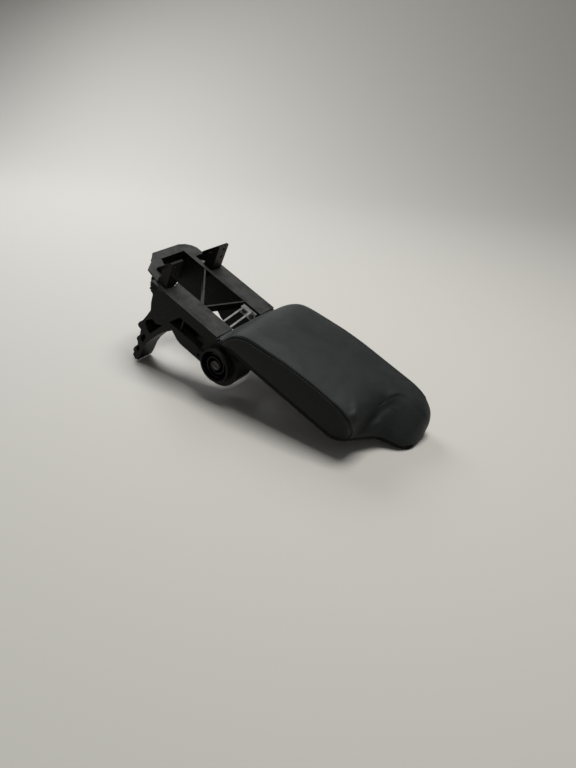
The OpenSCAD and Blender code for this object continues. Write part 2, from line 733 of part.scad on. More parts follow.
// A folded steel lug: a plate with two screw holes, two side walls and a foot in the rail
module lug(hole_y) {
    color(steel) difference() {
        union() {
            translate([-lug_tail, 0, -lug_t]) cube([lug_tail + flange_x - 0.2, lug_w, lug_t]);
            translate([flange_x - 1, base_y[0], -lug_t])
                cube([seat_x - flange_x + 0.95, base_y[1] - base_y[0], lug_t]);
            translate([seat_x - 0.05 - lug_t, base_y[0], -lug_base_l + 1.5])
                cube([lug_t, base_y[1] - base_y[0], lug_base_l - 1.5]);
            side_slab(0, lug_t) polygon([
                [-lug_tail + 1, -lug_t / 2], [-lug_tail + 1, -4], [0, -9], [8, -16],
                [14, -13], [flange_x - 2, -lug_short], [flange_x - 0.2, -lug_short],
                [flange_x - 0.2, -lug_t / 2]
            ]);
            side_slab(lug_w - lug_t, lug_w) polygon([
                [-lug_tail, -lug_t / 2], [-lug_tail, -lug_t - 1], [flange_x - 4, -lug_long],
                [flange_x - 0.2, -lug_long], [flange_x - 0.2, -lug_t / 2]
            ]);
        }
        for (x = [-lug_pitch / 2, lug_pitch / 2])
            translate([x, hole_y, -lug_t - 1]) cylinder(r = lug_hole_r, h = lug_t + 2, $fn = 48);
        for (z = rivet_z)
            x_rod(rivet_r + 0.1, seat_x - lug_t - 1, seat_x + 1, lug_mid, z);
    }
}

module right_screw_lug() {
    translate([0, right_lug_y, 0]) lug(-lug_span / 2 - right_lug_y);
}

module left_screw_lug() {
    translate([0, left_lug_y, 0]) lug(lug_span / 2 - left_lug_y);
}

module lug_rivets(y0) {
    y = y0 + lug_mid;
    color(zinc)
        for (z = rivet_z) {
            x_rod(rivet_r - 0.05, seat_x - lug_t - 0.2, seat_x + wall + 0.2, y, z);
            x_rod(rivet_head_r, seat_x - lug_t - 2, seat_x - lug_t - 0.1, y, z);
            x_rod(rivet_head_r, seat_x + wall + 0.1, seat_x + wall + 1.6, y, z);
        }
}

module right_lug_rivets() {
    lug_rivets(right_lug_y);
}

module left_lug_rivets() {
    lug_rivets(left_lug_y);
}

// Hinge parts, drawn on the left and mirrored
bush_flange_t = 1.5;

module bush() {
    color(zinc) difference() {
        union() {
            y_rod(bush_r - 0.05, inner_y - bush_flange_t, half_w - 9, hinge_x, hinge_z);
            y_rod(bush_r + 3, inner_y - bush_flange_t, inner_y - 0.05, hinge_x, hinge_z);
        }
        y_rod(shaft_r + shaft_gap, inner_y - 3, half_w, hinge_x, hinge_z);
    }
}

module left_bush() {
    bush();
}

module right_bush() {
    mirror([0, 1, 0]) bush();
}

drum_base = half_w - 8.9;

// Brake drum: a cup round the shaft's end, with an anchor tab over the rail
module brake_drum() {
    color(plastic) difference() {
        union() {
            y_rod(drum_r, drum_base, drum_y1, hinge_x, hinge_z);
            y_rod(drum_r + 1.6, half_w + 0.2, half_w + 3, hinge_x, hinge_z);
            side_slab(half_w + 0.2, half_w + 3) polygon([
                [hinge_x - 4, hinge_z - 20], [hinge_x + 1, hinge_z - 34], [hinge_x + 5, hinge_z - 39],
                [hinge_x + 15, hinge_z - 39], [hinge_x + 18, hinge_z - 34], [hinge_x + 17, hinge_z - 18]
            ]);
        }
        y_rod(drum_r - drum_wall, drum_base + drum_floor, drum_y1 + 1, hinge_x, hinge_z);
        y_rod(shaft_r + 0.5, drum_base - 1, drum_y1, hinge_x, hinge_z);
        for (a = [0, 120, 240])
            y_rod(
                drum_screw_r + 0.3, drum_base - 1, drum_y1,
                hinge_x + drum_screw_ring * cos(a + 90), hinge_z + drum_screw_ring * sin(a + 90)
            );
        y_rod(2.2, half_w - 1, half_w + 4, hinge_x + 10, hinge_z - 34);
    }
}

module left_brake_drum() {
    brake_drum();
}

module right_brake_drum() {
    mirror([0, 1, 0]) brake_drum();
}

module drum_screws() {
    color(steel)
        for (a = [0, 120, 240])
            side_screw(
                -1, -drum_base - drum_floor - 0.05,
                hinge_x + drum_screw_ring * cos(a + 90), hinge_z + drum_screw_ring * sin(a + 90),
                drum_screw_r - 0.35, drum_floor + 3.4, 3.8, 2.2
            );
}

module left_drum_screws() {
    drum_screws();
}

module right_drum_screws() {
    mirror([0, 1, 0]) drum_screws();
}

module stop_buffers() {
    color(plastic)
        for (side = [0, 1])
            mirror([0, side, 0])
                for (s = stops)
                    difference() {
                        y_rod(stop_r, stop_y0 + 0.5, inner_y - 0.1, hinge_x + s[0], hinge_z + s[1]);
                        y_rod(stop_post_r + 0.05, stop_y0 - 1, inner_y + 1, hinge_x + s[0], hinge_z + s[1]);
                    }
}

module hinge_shaft() {
    color(steel) difference() {
        y_rod(shaft_r, -shaft_end, shaft_end, hinge_x, hinge_z);
        for (s = [-1, 1])
            translate([hinge_x - shaft_slot / 2, s > 0 ? shaft_end - slot_depth : -shaft_end - 1, hinge_z - shaft_r - 1])
                cube([shaft_slot, slot_depth + 1, 2 * shaft_r + 2]);
        for (s = [-1, 1])
            translate([hinge_x, s * pin_y, hinge_z - shaft_r - 1]) cylinder(r = pin_r + 0.05, h = 2 * shaft_r + 2, $fn = 48);
    }
}

// Two-armed spiral brake spring, through the slot of the shaft
module spring_outline() {
    t = strip_t / 2;
    turns = spring_turns * 360;
    r0 = shaft_r + 0.6;
    steps = 22;
    function spiral(a, d) = (r0 + (spring_r - r0) * a / turns + d) * [cos(a + 90), sin(a + 90)];
    for (side = [0, 1])
        rotate(180 * side)
            polygon(concat(
                [[-t, -0.1], [t, -0.1], [t, r0]],
                [for (i = [0:steps]) spiral(i * turns / steps, t)],
                [for (i = [steps:-1:1]) spiral(i * turns / steps, -t)],
                [[-t, shaft_r + 0.15]]
            ));
}

module brake_spring() {
    color(zinc) translate([hinge_x, shaft_end - 0.5, hinge_z]) rotate([90, 0, 0])
        linear_extrude(spring_h) spring_outline();
}

module left_brake_spring() {
    brake_spring();
}

module right_brake_spring() {
    mirror([0, 1, 0]) brake_spring();
}

module thrust_washer() {
    y1 = inner_y - bush_flange_t - 0.1;
    color(zinc) difference() {
        y_rod(bush_r + 2, y1 - washer_t, y1, hinge_x, hinge_z);
        y_rod(shaft_r + 0.1, y1 - washer_t - 1, y1 + 1, hinge_x, hinge_z);
    }
}

module left_thrust_washer() {
    thrust_washer();
}

module right_thrust_washer() {
    mirror([0, 1, 0]) thrust_washer();
}

// Hinge arm: an eye on the shaft, a web and a foot screwed to the pad's base
collar_l = 10;
pin_y = arm_y1 - arm_t - collar_l / 2;

module hinge_arm() {
    color(steel) difference() {
        union() {
            side_slab(arm_y1 - arm_t, arm_y1) hull() {
                translate([hinge_x, hinge_z]) circle(eye_r, $fn = 48);
                translate([foot_x0, arm_z0]) square([arm_t, arm_foot_l]);
            }
            y_rod(11, arm_y1 - arm_t - collar_l, arm_y1 - 0.1, hinge_x, hinge_z);
            translate([foot_x0, arm_y1 - foot_w, arm_z0]) cube([arm_t, foot_w, arm_foot_l]);
        }
        y_rod(shaft_r + 0.03, arm_y1 - arm_t - collar_l - 1, arm_y1 + 1, hinge_x, hinge_z);
        translate([hinge_x, pin_y, hinge_z - 20]) cylinder(r = pin_r + 0.05, h = 40, $fn = 48);
        for (z = arm_screw_z)
            x_rod(arm_screw_r + 0.3, foot_x0 - 1, foot_x0 + arm_t + 1, arm_screw_y, z);
    }
}
arm_screw_y = arm_y1 - arm_t - 9;

module left_hinge_arm() {
    hinge_arm();
}

module right_hinge_arm() {
    mirror([0, 1, 0]) hinge_arm();
}

module arm_pins() {
    color(zinc)
        for (s = [-1, 1])
            translate([hinge_x, s * pin_y, hinge_z - 11.5]) cylinder(r = pin_r, h = 23, $fn = 48);
}

module arm_screws() {
    color(zinc)
        for (s = [-1, 1])
            for (z = arm_screw_z) {
                x_rod(4.4, foot_x0 + arm_t + 0.1, foot_x0 + arm_t + 3.3, s * arm_screw_y, z);
                x_rod(arm_screw_r - 0.05, plate_x - 1, foot_x0 + arm_t + 0.2, s * arm_screw_y, z);
            }
}

// Pad
tray_t = cover_t + soft_gap;
foam_t = tray_t + 2 * soft_gap;
tray_z0 = pad_z0 + 19.5;
floor_t = 3;
plate_x = pad_x1 - floor_t - 0.1 - plate_t;
plate_z0 = tray_z0 + tray_wall + 1;

module base_tray() {
    color(plastic) difference() {
        union() {
            difference() {
                union() {
                    plan_slab(pad_x1 - tray_d, pad_x1, tray_t, tray_z0);
                    plan_slab(pad_x1 - rim_h, pad_x1, 0.3, tray_z0);
                }
                plan_slab(pad_x1 - tray_d - 1, pad_x1 - floor_t, tray_t + tray_wall, tray_z0 + tray_wall);
                // Lower wall at the nose, where the cover comes down
                translate([pad_x1 - tray_d - 1, -pad_w, pad_z1 - 7]) cube([3.5, 2 * pad_w, 10]);
            }
            for (p = boss_at)
                x_rod(boss_r, pad_x1 - tray_d, pad_x1 - 0.1, p[0], p[1]);
        }
        for (s = [-1, 1])
            for (z = arm_screw_z)
                x_rod(arm_screw_r + 0.3, pad_x1 - floor_t - 1, pad_x1 + 1, s * arm_screw_y, z);
        for (p = boss_at) {
            x_rod(tray_screw_r + 0.05, pad_x1 - tray_d - 1, pad_x1 + 1, p[0], p[1]);
            x_rod(screw_sink_r, pad_x1 - 2.5, pad_x1 + 1, p[0], p[1]);
        }
    }
}
boss_y = half_pad - 26.5;
boss_at = [
    [-boss_y, pad_z0 + 0.32 * pad_l], [boss_y, pad_z0 + 0.32 * pad_l],
    [-boss_y, pad_z0 + 0.64 * pad_l], [boss_y, pad_z0 + 0.64 * pad_l],
    [boss_y + 2, pad_z1 - 28]
];

module tray_screws() {
    color(steel)
        for (p = boss_at) {
            x_rod(screw_sink_r - 0.4, pad_x1 - 2.4, pad_x1 - 0.4, p[0], p[1]);
            x_rod(tray_screw_r, pad_x1 - tray_d - 4, pad_x1 - 2.3, p[0], p[1]);
        }
}

module stiffener_plate() {
    color(zinc) difference() {
        translate([plate_x, -plate_w / 2, plate_z0]) cube([plate_t, plate_w, plate_l]);
        for (s = [-1, 1])
            for (z = arm_screw_z)
                x_rod(arm_screw_r, plate_x - 1, plate_x + plate_t + 1, s * arm_screw_y, z);
        for (p = boss_at)
            x_rod(boss_r + 1.5, plate_x - 1, plate_x + plate_t + 1, p[0], p[1]);
    }
}

module foam_core() {
    color([0.8, 0.76, 0.6]) difference() {
        union() {
            intersection() {
                pad_form(foam_t, pad_x1 + 4);
                translate([pad_x0 - 10, -half_pad, pad_z0])
                    cube([pad_t + 10 - tray_d - 0.2, pad_w, pad_l - 5]);
            }
            plan_slab(pad_x1 - tray_d - 0.3, plate_x - 0.5, tray_t + tray_wall + 0.3, tray_z0 + tray_wall + 0.3);
        }
        for (p = boss_at)
            x_rod(boss_r + 0.6, pad_x1 - tray_d - 5, pad_x1, p[0], p[1]);
        for (s = [-1, 1])
            for (z = arm_screw_z)
                x_rod(4, plate_x - 3, plate_x, s * arm_screw_y, z);
    }
}

module cover_shell() {
    difference() {
        pad_form(0, pad_x1);
        pad_form(cover_t, pad_x1 + 4);
        // The cover ends on the rim of the base tray
        translate([pad_x1 - rim_h - 0.2, -pad_w, tray_z0 - 0.3]) cube([rim_h + 5, 2 * pad_w, pad_l]);
    }
}

module top_cover() {
    color(leather) {
        difference() {
            cover_shell();
            panel_side(true, seam_gap / 2);
            panel_side(false, seam_gap / 2);
        }
        // Hem turned in under the rear lip
        intersection() {
            plan_slab(pad_x1 - 2, pad_x1, tray_t, pad_z0 + 1);
            translate([0, 12 - half_pad, pad_z0]) cube([pad_x1 + 5, pad_w - 24, tray_z0 - 0.3 - pad_z0]);
        }
    }
}

module side_panel(right) {
    color(leather) intersection() {
        cover_shell();
        panel_side(right, -seam_gap / 2);
    }
}

module right_side_panel() {
    side_panel(true);
}

module left_side_panel() {
    side_panel(false);
}

module right_piping() {
    color(leather) cord(right_path, piping_r);
}

module left_piping() {
    color(leather) cord(left_path, piping_r);
}

carrier_frame();
tie_frame();
tie_screws();
right_screw_lug();
left_screw_lug();
right_lug_rivets();
left_lug_rivets();
right_bush();
left_bush();
right_brake_drum();
left_brake_drum();
right_drum_screws();
left_drum_screws();
stop_buffers();
hinge_shaft();
right_brake_spring();
left_brake_spring();
right_thrust_washer();
left_thrust_washer();
right_hinge_arm();
left_hinge_arm();
arm_pins();
arm_screws();
base_tray();
tray_screws();
stiffener_plate();
foam_core();
top_cover();
right_side_panel();
left_side_panel();
right_piping();
left_piping();
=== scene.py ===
import json
import math

import bmesh
import bpy
import numpy as np
from mathutils import Matrix, Vector
from mathutils.bvhtree import BVHTree


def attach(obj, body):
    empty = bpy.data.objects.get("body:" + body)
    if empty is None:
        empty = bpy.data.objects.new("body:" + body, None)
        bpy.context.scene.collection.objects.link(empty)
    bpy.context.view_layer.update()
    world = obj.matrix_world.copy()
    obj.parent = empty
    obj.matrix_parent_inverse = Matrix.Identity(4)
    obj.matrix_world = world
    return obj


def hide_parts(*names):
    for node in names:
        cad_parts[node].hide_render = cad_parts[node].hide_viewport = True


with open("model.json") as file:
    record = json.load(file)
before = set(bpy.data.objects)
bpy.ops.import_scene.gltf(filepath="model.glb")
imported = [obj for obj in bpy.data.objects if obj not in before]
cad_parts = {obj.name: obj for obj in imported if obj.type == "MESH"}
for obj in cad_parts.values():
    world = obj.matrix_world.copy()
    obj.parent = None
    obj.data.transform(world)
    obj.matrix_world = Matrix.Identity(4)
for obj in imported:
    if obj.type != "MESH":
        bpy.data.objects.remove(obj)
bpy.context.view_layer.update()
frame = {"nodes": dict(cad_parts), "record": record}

MM = 0.001

# Sizes of the pad in mm. X points down through it, Z runs from its rear to its nose.
UNDERSIDE = 32.0
REAR = 110.3
NOSE = 405.3
THICK = 55.0
HALF = 71.5
NOTCH = 340.3
NOSE_SIDE = 16.5
EDGE_ROUND = 24.0
EDGE_LEAD = 6.0
FOOT = 22.0
LIP = 31.8
COVER_END = 26.8
RIM_FROM = 129.5
PANEL_REAR = 118.3
RIGHT_TIP = 338.3
LEFT_TIP = 379.3
TIP_LEAD = 8.0


def smooth_table(points):
    """A smooth curve through points that doesn't overshoot between them."""
    x = np.array([p[0] for p in points], float)
    y = np.array([p[1] for p in points], float)
    h = np.diff(x)
    d = np.diff(y) / h
    m = np.zeros(len(x))
    for i in range(1, len(x) - 1):
        if d[i - 1] * d[i] > 0:
            w1, w2 = 2 * h[i] + h[i - 1], h[i] + 2 * h[i - 1]
            m[i] = (w1 + w2) / (w1 / d[i - 1] + w2 / d[i])
    m[0], m[-1] = d[0], d[-1]

    def at(t):
        t = np.clip(np.asarray(t, float), x[0], x[-1])
        k = np.clip(np.searchsorted(x, t, "right") - 1, 0, len(h) - 1)
        s = (t - x[k]) / h[k]
        return (
            y[k] * (1 + 2 * s) * (1 - s) ** 2
            + h[k] * m[k] * s * (1 - s) ** 2
            + y[k + 1] * s**2 * (3 - 2 * s)
            + h[k] * m[k + 1] * s**2 * (s - 1)
        )

    return at


def height_curve(shares):
    """Level along the pad, from shares of its length and of its thickness."""
    return smooth_table([(REAR + f * (NOSE - REAR), UNDERSIDE - THICK * g) for f, g in shares])


REAR_SHARES = [
    (0, 0.015), (0.038, 0.073), (0.058, 0.29), (0.097, 0.545), (0.138, 0.673), (0.267, 0.8), (0.399, 0.905),
]
crown = height_curve([
    (0, 0.03), (0.022, 0.11), (0.052, 0.4), (0.093, 0.655), (0.133, 0.8), (0.184, 0.864), (0.294, 0.927),
    (0.443, 0.982), (0.592, 1), (0.8, 1), (0.86, 0.965), (0.907, 0.89), (0.955, 0.75), (0.982, 0.58),
    (0.996, 0.39), (1, 0.29)])
right_edge = height_curve(REAR_SHARES + [
    (0.533, 0.95), (0.653, 0.925), (0.728, 0.818), (0.773, 0.7), (0.85, 0.673), (0.914, 0.6),
    (0.955, 0.51), (0.982, 0.38), (0.996, 0.26), (1, 0.21)])
left_edge = height_curve(REAR_SHARES + [
    (0.533, 0.94), (0.8, 0.94), (0.86, 0.9), (0.907, 0.81), (0.955, 0.65), (0.982, 0.48), (0.996, 0.3), (1, 0.21)])
REAR_ENDS = [(0, 11.5), (3, 7), (10, 2), (20, 0)]
right_line = smooth_table([(REAR + z, e - HALF) for z, e in REAR_ENDS] + [
    (NOTCH - 14, -HALF), (NOTCH - 8, 2.5 - HALF), (NOTCH - 4, 7.5 - HALF), (NOTCH - 1.5, 16.5 - HALF),
    (NOTCH, 29.5 - HALF), (NOTCH + 1.2, NOSE_SIDE - 42), (NOTCH + 2.6, NOSE_SIDE - 25),
    (NOTCH + 5, NOSE_SIDE - 13), (NOTCH + 9, NOSE_SIDE - 7), (NOTCH + 15, NOSE_SIDE - 3),
    (NOTCH + 24, NOSE_SIDE), (NOTCH + 38, NOSE_SIDE + 2), (NOSE - 14, NOSE_SIDE + 5),
    (NOSE - 6, NOSE_SIDE + 11), (NOSE - 1.2, NOSE_SIDE + 17), (NOSE, NOSE_SIDE + 21)])
right_foot = smooth_table([(REAR + z, e - HALF) for z, e in REAR_ENDS] + [
    (NOTCH - 26, -HALF), (NOTCH - 18, 1.5 - HALF), (NOTCH - 11, 6 - HALF), (NOTCH - 4, 14 - HALF),
    (NOTCH + 2.6, 25 - HALF), (NOTCH + 9, NOSE_SIDE - 51), (NOTCH + 15, NOSE_SIDE - 41),
    (NOTCH + 20, NOSE_SIDE - 33), (NOTCH + 24, NOSE_SIDE - 29), (NOTCH + 31, NOSE_SIDE - 24),
    (NOTCH + 38, NOSE_SIDE - 21), (NOSE - 14, NOSE_SIDE - 15), (NOSE - 6, NOSE_SIDE - 9),
    (NOSE - 1.2, NOSE_SIDE - 3), (NOSE, NOSE_SIDE + 1)])
left_line = smooth_table([(REAR + z, HALF - e) for z, e in REAR_ENDS] + [
    (NOSE - 24, HALF), (NOSE - 12, HALF - 3), (NOSE - 6, HALF - 7.5), (NOSE - 1.2, HALF - 14), (NOSE, HALF - 18)])


def mesh_piece(name, verts, faces, material, smooth=True):
    mesh = bpy.data.meshes.new(name)
    mesh.from_pydata([tuple(v) for v in verts], [], [tuple(f) for f in faces])
    mesh.validate()
    obj = bpy.data.objects.new(name, mesh)
    bpy.context.scene.collection.objects.link(obj)
    if material is not None:
        mesh.materials.append(material)
    if smooth:
        mesh.polygons.foreach_set("use_smooth", [True] * len(mesh.polygons))
    mesh.update()
    return obj


def outward(obj):
    bm = bmesh.new()
    bm.from_mesh(obj.data)
    bmesh.ops.recalc_face_normals(bm, faces=bm.faces)
    bm.to_mesh(obj.data)
    bm.free()
    return obj


def tube(name, path, radius, material, sides=10):
    """A round cord along a path of points, with capped ends."""
    p = np.array(path, float)
    n = len(p)
    t = np.gradient(p, axis=0)
    t /= np.linalg.norm(t, axis=1)[:, None]
    verts, faces = [], []
    for i in range(n):
        side = np.cross(t[i], (0.0, 1.0, 0.0))
        side /= np.linalg.norm(side)
        lift = np.cross(side, t[i])
        for j in range(sides):
            a = 2 * math.pi * j / sides
            verts.append(p[i] + radius * (math.cos(a) * side + math.sin(a) * lift))
    for i in range(n - 1):
        for j in range(sides):
            a, b = i * sides + j, i * sides + (j + 1) % sides
            faces.append((a, b, b + sides, a + sides))
    faces.append(tuple(range(sides)))
    faces.append(tuple(range((n - 1) * sides, n * sides)))
    return outward(mesh_piece(name, verts, faces, material))


def new_group(name, inputs, outputs):
    tree = bpy.data.node_groups.new(name, "ShaderNodeTree")
    for label, kind, value in inputs:
        s = tree.interface.new_socket(name=label, in_out="INPUT", socket_type="NodeSocket" + kind)
        if value is not None:
            s.default_value = value
    for label, kind in outputs:
        tree.interface.new_socket(name=label, in_out="OUTPUT", socket_type="NodeSocket" + kind)
    return tree, tree.nodes.new("NodeGroupInput"), tree.nodes.new("NodeGroupOutput")


def maths(tree, op, a, b=None, clamp=False):
    n = tree.nodes.new("ShaderNodeMath")
    n.operation = op
    n.use_clamp = clamp
    for k, v in enumerate((a, b)):
        if v is None:
            continue
        if isinstance(v, (int, float)):
            n.inputs[k].default_value = v
        else:
            tree.links.new(v, n.inputs[k])
    return n.outputs[0]


def span(tree, value, low, high, out_low=0.0, out_high=1.0):
    n = tree.nodes.new("ShaderNodeMapRange")
    n.interpolation_type = "SMOOTHSTEP"
    tree.links.new(value, n.inputs["Value"])
    for label, v in (("From Min", low), ("From Max", high), ("To Min", out_low), ("To Max", out_high)):
        n.inputs[label].default_value = v
    return n.outputs["Result"]


def noise(tree, vector, scale, detail=3.0, rough=0.5):
    n = tree.nodes.new("ShaderNodeTexNoise")
    if vector is not None:
        tree.links.new(vector, n.inputs["Vector"])
    if isinstance(scale, (int, float)):
        n.inputs["Scale"].default_value = scale
    else:
        tree.links.new(scale, n.inputs["Scale"])
    n.inputs["Detail"].default_value = detail
    n.inputs["Roughness"].default_value = rough
    return n.outputs["Fac"]


def edge_wear_group():
    """Mask of edges that rub bare, broken up by noise."""
    tree, gin, gout = new_group(
        "edge_wear", [("Vector", "Vector", None), ("Width", "Float", 0.001), ("Amount", "Float", 0.5)],
        [("Mask", "Float")],
    )
    bevel = tree.nodes.new("ShaderNodeBevel")
    bevel.samples = 6
    tree.links.new(gin.outputs["Width"], bevel.inputs["Radius"])
    geo = tree.nodes.new("ShaderNodeNewGeometry")
    dot = tree.nodes.new("ShaderNodeVectorMath")
    dot.operation = "DOT_PRODUCT"
    tree.links.new(bevel.outputs["Normal"], dot.inputs[0])
    tree.links.new(geo.outputs["Normal"], dot.inputs[1])
    edge = span(tree, dot.outputs["Value"], 0.995, 0.86)
    broken = span(tree, noise(tree, gin.outputs["Vector"], 140, 4, 0.65), 0.42, 0.66)
    worn = maths(tree, "MULTIPLY", edge, maths(tree, "ADD", maths(tree, "MULTIPLY", broken, 0.75), 0.25))
    tree.links.new(maths(tree, "MULTIPLY", worn, gin.outputs["Amount"], True), gout.inputs["Mask"])
    return tree


def leather_group():
    """Fine pebble grain of artificial leather: height, and a mask of its creases that paints shade into them."""
    tree, gin, gout = new_group(
        "leather_grain", [("Vector", "Vector", None), ("Scale", "Float", 900.0), ("Creases", "Float", 0.5)],
        [("Height", "Float"), ("Crease", "Float"), ("Cloud", "Float")],
    )
    cell = tree.nodes.new("ShaderNodeTexVoronoi")
    cell.feature = "DISTANCE_TO_EDGE"
    wobble = tree.nodes.new("ShaderNodeTexNoise")
    wobble.inputs["Scale"].default_value = 260.0
    wobble.inputs["Detail"].default_value = 2.0
    tree.links.new(gin.outputs["Vector"], wobble.inputs["Vector"])
    mix = tree.nodes.new("ShaderNodeVectorMath")
    mix.operation = "MULTIPLY_ADD"
    tree.links.new(wobble.outputs["Color"], mix.inputs[0])
    mix.inputs[1].default_value = (0.0012, 0.0012, 0.0012)
    tree.links.new(gin.outputs["Vector"], mix.inputs[2])
    tree.links.new(mix.outputs["Vector"], cell.inputs["Vector"])
    tree.links.new(gin.outputs["Scale"], cell.inputs["Scale"])
    pebble = span(tree, cell.outputs["Distance"], 0.0, 0.16)
    fine = noise(tree, gin.outputs["Vector"], 2600, 2, 0.6)
    cloud = noise(tree, gin.outputs["Vector"], 22, 3, 0.55)
    height = maths(tree, "ADD", maths(tree, "MULTIPLY", pebble, 0.8), maths(tree, "MULTIPLY", fine, 0.35))
    tree.links.new(height, gout.inputs["Height"])
    # The grain's creases are made darker: painted shade
    crease_shade = maths(tree, "SUBTRACT", 1.0, pebble)
    tree.links.new(maths(tree, "MULTIPLY", crease_shade, gin.outputs["Creases"]), gout.inputs["Crease"])
    tree.links.new(cloud, gout.inputs["Cloud"])
    return tree


def dust_and_painted_light_group():
    """Pale dust that gathers on faces turned to a given side, in patches. It also paints light onto the faces
    turned up.
    """
    tree, gin, gout = new_group(
        "dust_and_painted_light", [("Vector", "Vector", None), ("Amount", "Float", 0.3), ("Patch", "Float", 60.0)],
        [("Mask", "Float"), ("Speck", "Float")],
    )
    geo = tree.nodes.new("ShaderNodeNewGeometry")
    dot = tree.nodes.new("ShaderNodeVectorMath")
    dot.operation = "DOT_PRODUCT"
    tree.links.new(geo.outputs["Normal"], dot.inputs[0])
    dot.inputs[1].default_value = (-0.9, 0.0, -0.2)
    # Faces turned up are made lighter in patches: dust, and painted light
    facing = span(tree, dot.outputs["Value"], 0.1, 0.9)
    patch = span(tree, noise(tree, gin.outputs["Vector"], gin.outputs["Patch"], 5, 0.62), 0.1, 0.7)
    mask = maths(tree, "MULTIPLY", maths(tree, "MULTIPLY", facing, patch), gin.outputs["Amount"], True)
    tree.links.new(mask, gout.inputs["Mask"])
    speck = span(tree, noise(tree, gin.outputs["Vector"], 900, 1, 0.5), 0.69, 0.75)
    tree.links.new(maths(tree, "MULTIPLY", speck, gin.outputs["Amount"], True), gout.inputs["Speck"])
    return tree


EDGE_WEAR = edge_wear_group()
LEATHER = leather_group()
DUST_AND_PAINTED_LIGHT = dust_and_painted_light_group()


def place(mat_tree, group, vector=None, **values):
    n = mat_tree.nodes.new("ShaderNodeGroup")
    n.node_tree = group
    if vector is not None:
        mat_tree.links.new(vector, n.inputs["Vector"])
    for label, v in values.items():
        n.inputs[label].default_value = v
    return n


def mix_colour(tree, fac, a, b, blend="MIX"):
    n = tree.nodes.new("ShaderNodeMix")
    n.data_type = "RGBA"
    n.blend_type = blend
    for k, v in (("Factor", fac), ("A", a), ("B", b)):
        sock = [s for s in n.inputs if s.name == k and s.type == ("VALUE" if k == "Factor" else "RGBA")][0]
        if isinstance(v, (int, float)):
            sock.default_value = v
        elif isinstance(v, tuple):
            sock.default_value = (*v, 1.0)
        else:
            tree.links.new(v, sock)
    return [s for s in n.outputs if s.type == "RGBA"][0]


def shade(colour, by):
    """A colour made darker or lighter."""
    return tuple(c * by for c in colour)


def start_material(name, **sockets):
    mat = bpy.data.materials.new(name)
    mat.use_nodes = True
    tree = mat.node_tree
    bsdf = tree.nodes["Principled BSDF"]
    for label, v in sockets.items():
        bsdf.inputs[label.replace("_", " ")].default_value = v
    vec = tree.nodes.new("ShaderNodeTexCoord").outputs["Object"]
    return mat, tree, bsdf, vec


def bump(tree, bsdf, height, strength, distance):
    n = tree.nodes.new("ShaderNodeBump")
    n.inputs["Strength"].default_value = strength
    n.inputs["Distance"].default_value = distance
    tree.links.new(height, n.inputs["Height"])
    tree.links.new(n.outputs["Normal"], bsdf.inputs["Normal"])


def moulded_plastic(name, colour, worn, rough, wear, dust_and_light_amount):
    """Dull moulded plastic with rubbed edges, and dust with painted light on the faces turned up."""
    mat, tree, bsdf, vec = start_material(name, Specular_IOR_Level=0.10)
    cloud = noise(tree, vec, 34, 4, 0.6)
    base = mix_colour(tree, span(tree, cloud, 0.3, 0.7), shade(colour, 0.86), shade(colour, 1.16))
    edge = place(tree, EDGE_WEAR, vec, Width=0.0011, Amount=wear)
    dust_and_light = place(tree, DUST_AND_PAINTED_LIGHT, vec, Amount=dust_and_light_amount, Patch=55.0)
    base = mix_colour(tree, edge.outputs["Mask"], base, worn)
    # Faces turned up are made lighter in patches: dust, and painted light
    base = mix_colour(tree, dust_and_light.outputs["Mask"], base, (0.095, 0.098, 0.095))
    base = mix_colour(tree, dust_and_light.outputs["Speck"], base, (0.13, 0.13, 0.12))
    tree.links.new(base, bsdf.inputs["Base Color"])
    grain = noise(tree, vec, 1500, 2, 0.5)
    uneven = maths(tree, "MULTIPLY", cloud, 0.22)
    tree.links.new(maths(tree, "ADD", uneven, rough - 0.11), bsdf.inputs["Roughness"])
    bump(tree, bsdf, grain, 0.25, 0.0002)
    return mat


def leather(name, colour, grain_scale, rough, grain_strength):
    """Artificial leather with a fine pebble grain."""
    mat, tree, bsdf, vec = start_material(name, Specular_IOR_Level=0.16)
    g = place(tree, LEATHER, vec, Scale=grain_scale, Creases=0.7)
    dust_and_light = place(tree, DUST_AND_PAINTED_LIGHT, vec, Amount=0.10, Patch=40.0)
    base = mix_colour(tree, span(tree, g.outputs["Cloud"], 0.3, 0.7), shade(colour, 0.85), shade(colour, 1.18))
    # The grain's creases are made darker: painted shade
    base = mix_colour(tree, g.outputs["Crease"], base, shade(colour, 0.45))
    # Faces turned up are made lighter in patches: dust, and painted light
    base = mix_colour(tree, dust_and_light.outputs["Mask"], base, (0.07, 0.074, 0.073))
    tree.links.new(base, bsdf.inputs["Base Color"])
    uneven = maths(tree, "MULTIPLY", g.outputs["Cloud"], 0.2)
    tree.links.new(maths(tree, "ADD", uneven, rough - 0.1), bsdf.inputs["Roughness"])
    bump(tree, bsdf, g.outputs["Height"], grain_strength, 0.00025)
    return mat


def metal(name, colour, dull, rough, metallic=1.0, streak=0.5, wear=0.3):
    """Metal with dull patches, fine streaks and brighter edges."""
    mat, tree, bsdf, vec = start_material(name, Metallic=metallic, Specular_IOR_Level=0.2)
    cloud = noise(tree, vec, 70, 5, 0.65)
    fine = noise(tree, vec, 900, 3, 0.6)
    base = mix_colour(tree, span(tree, cloud, 0.35, 0.7), colour, dull)
    edge = place(tree, EDGE_WEAR, vec, Width=0.0008, Amount=wear)
    base = mix_colour(tree, edge.outputs["Mask"], base, tuple(min(1, c * 1.6 + 0.1) for c in colour))
    tree.links.new(base, bsdf.inputs["Base Color"])
    streaks = maths(tree, "MULTIPLY", fine, streak * 0.3)
    tree.links.new(maths(tree, "ADD", streaks, rough), bsdf.inputs["Roughness"])
    bump(tree, bsdf, fine, 0.12, 0.0001)
    return mat


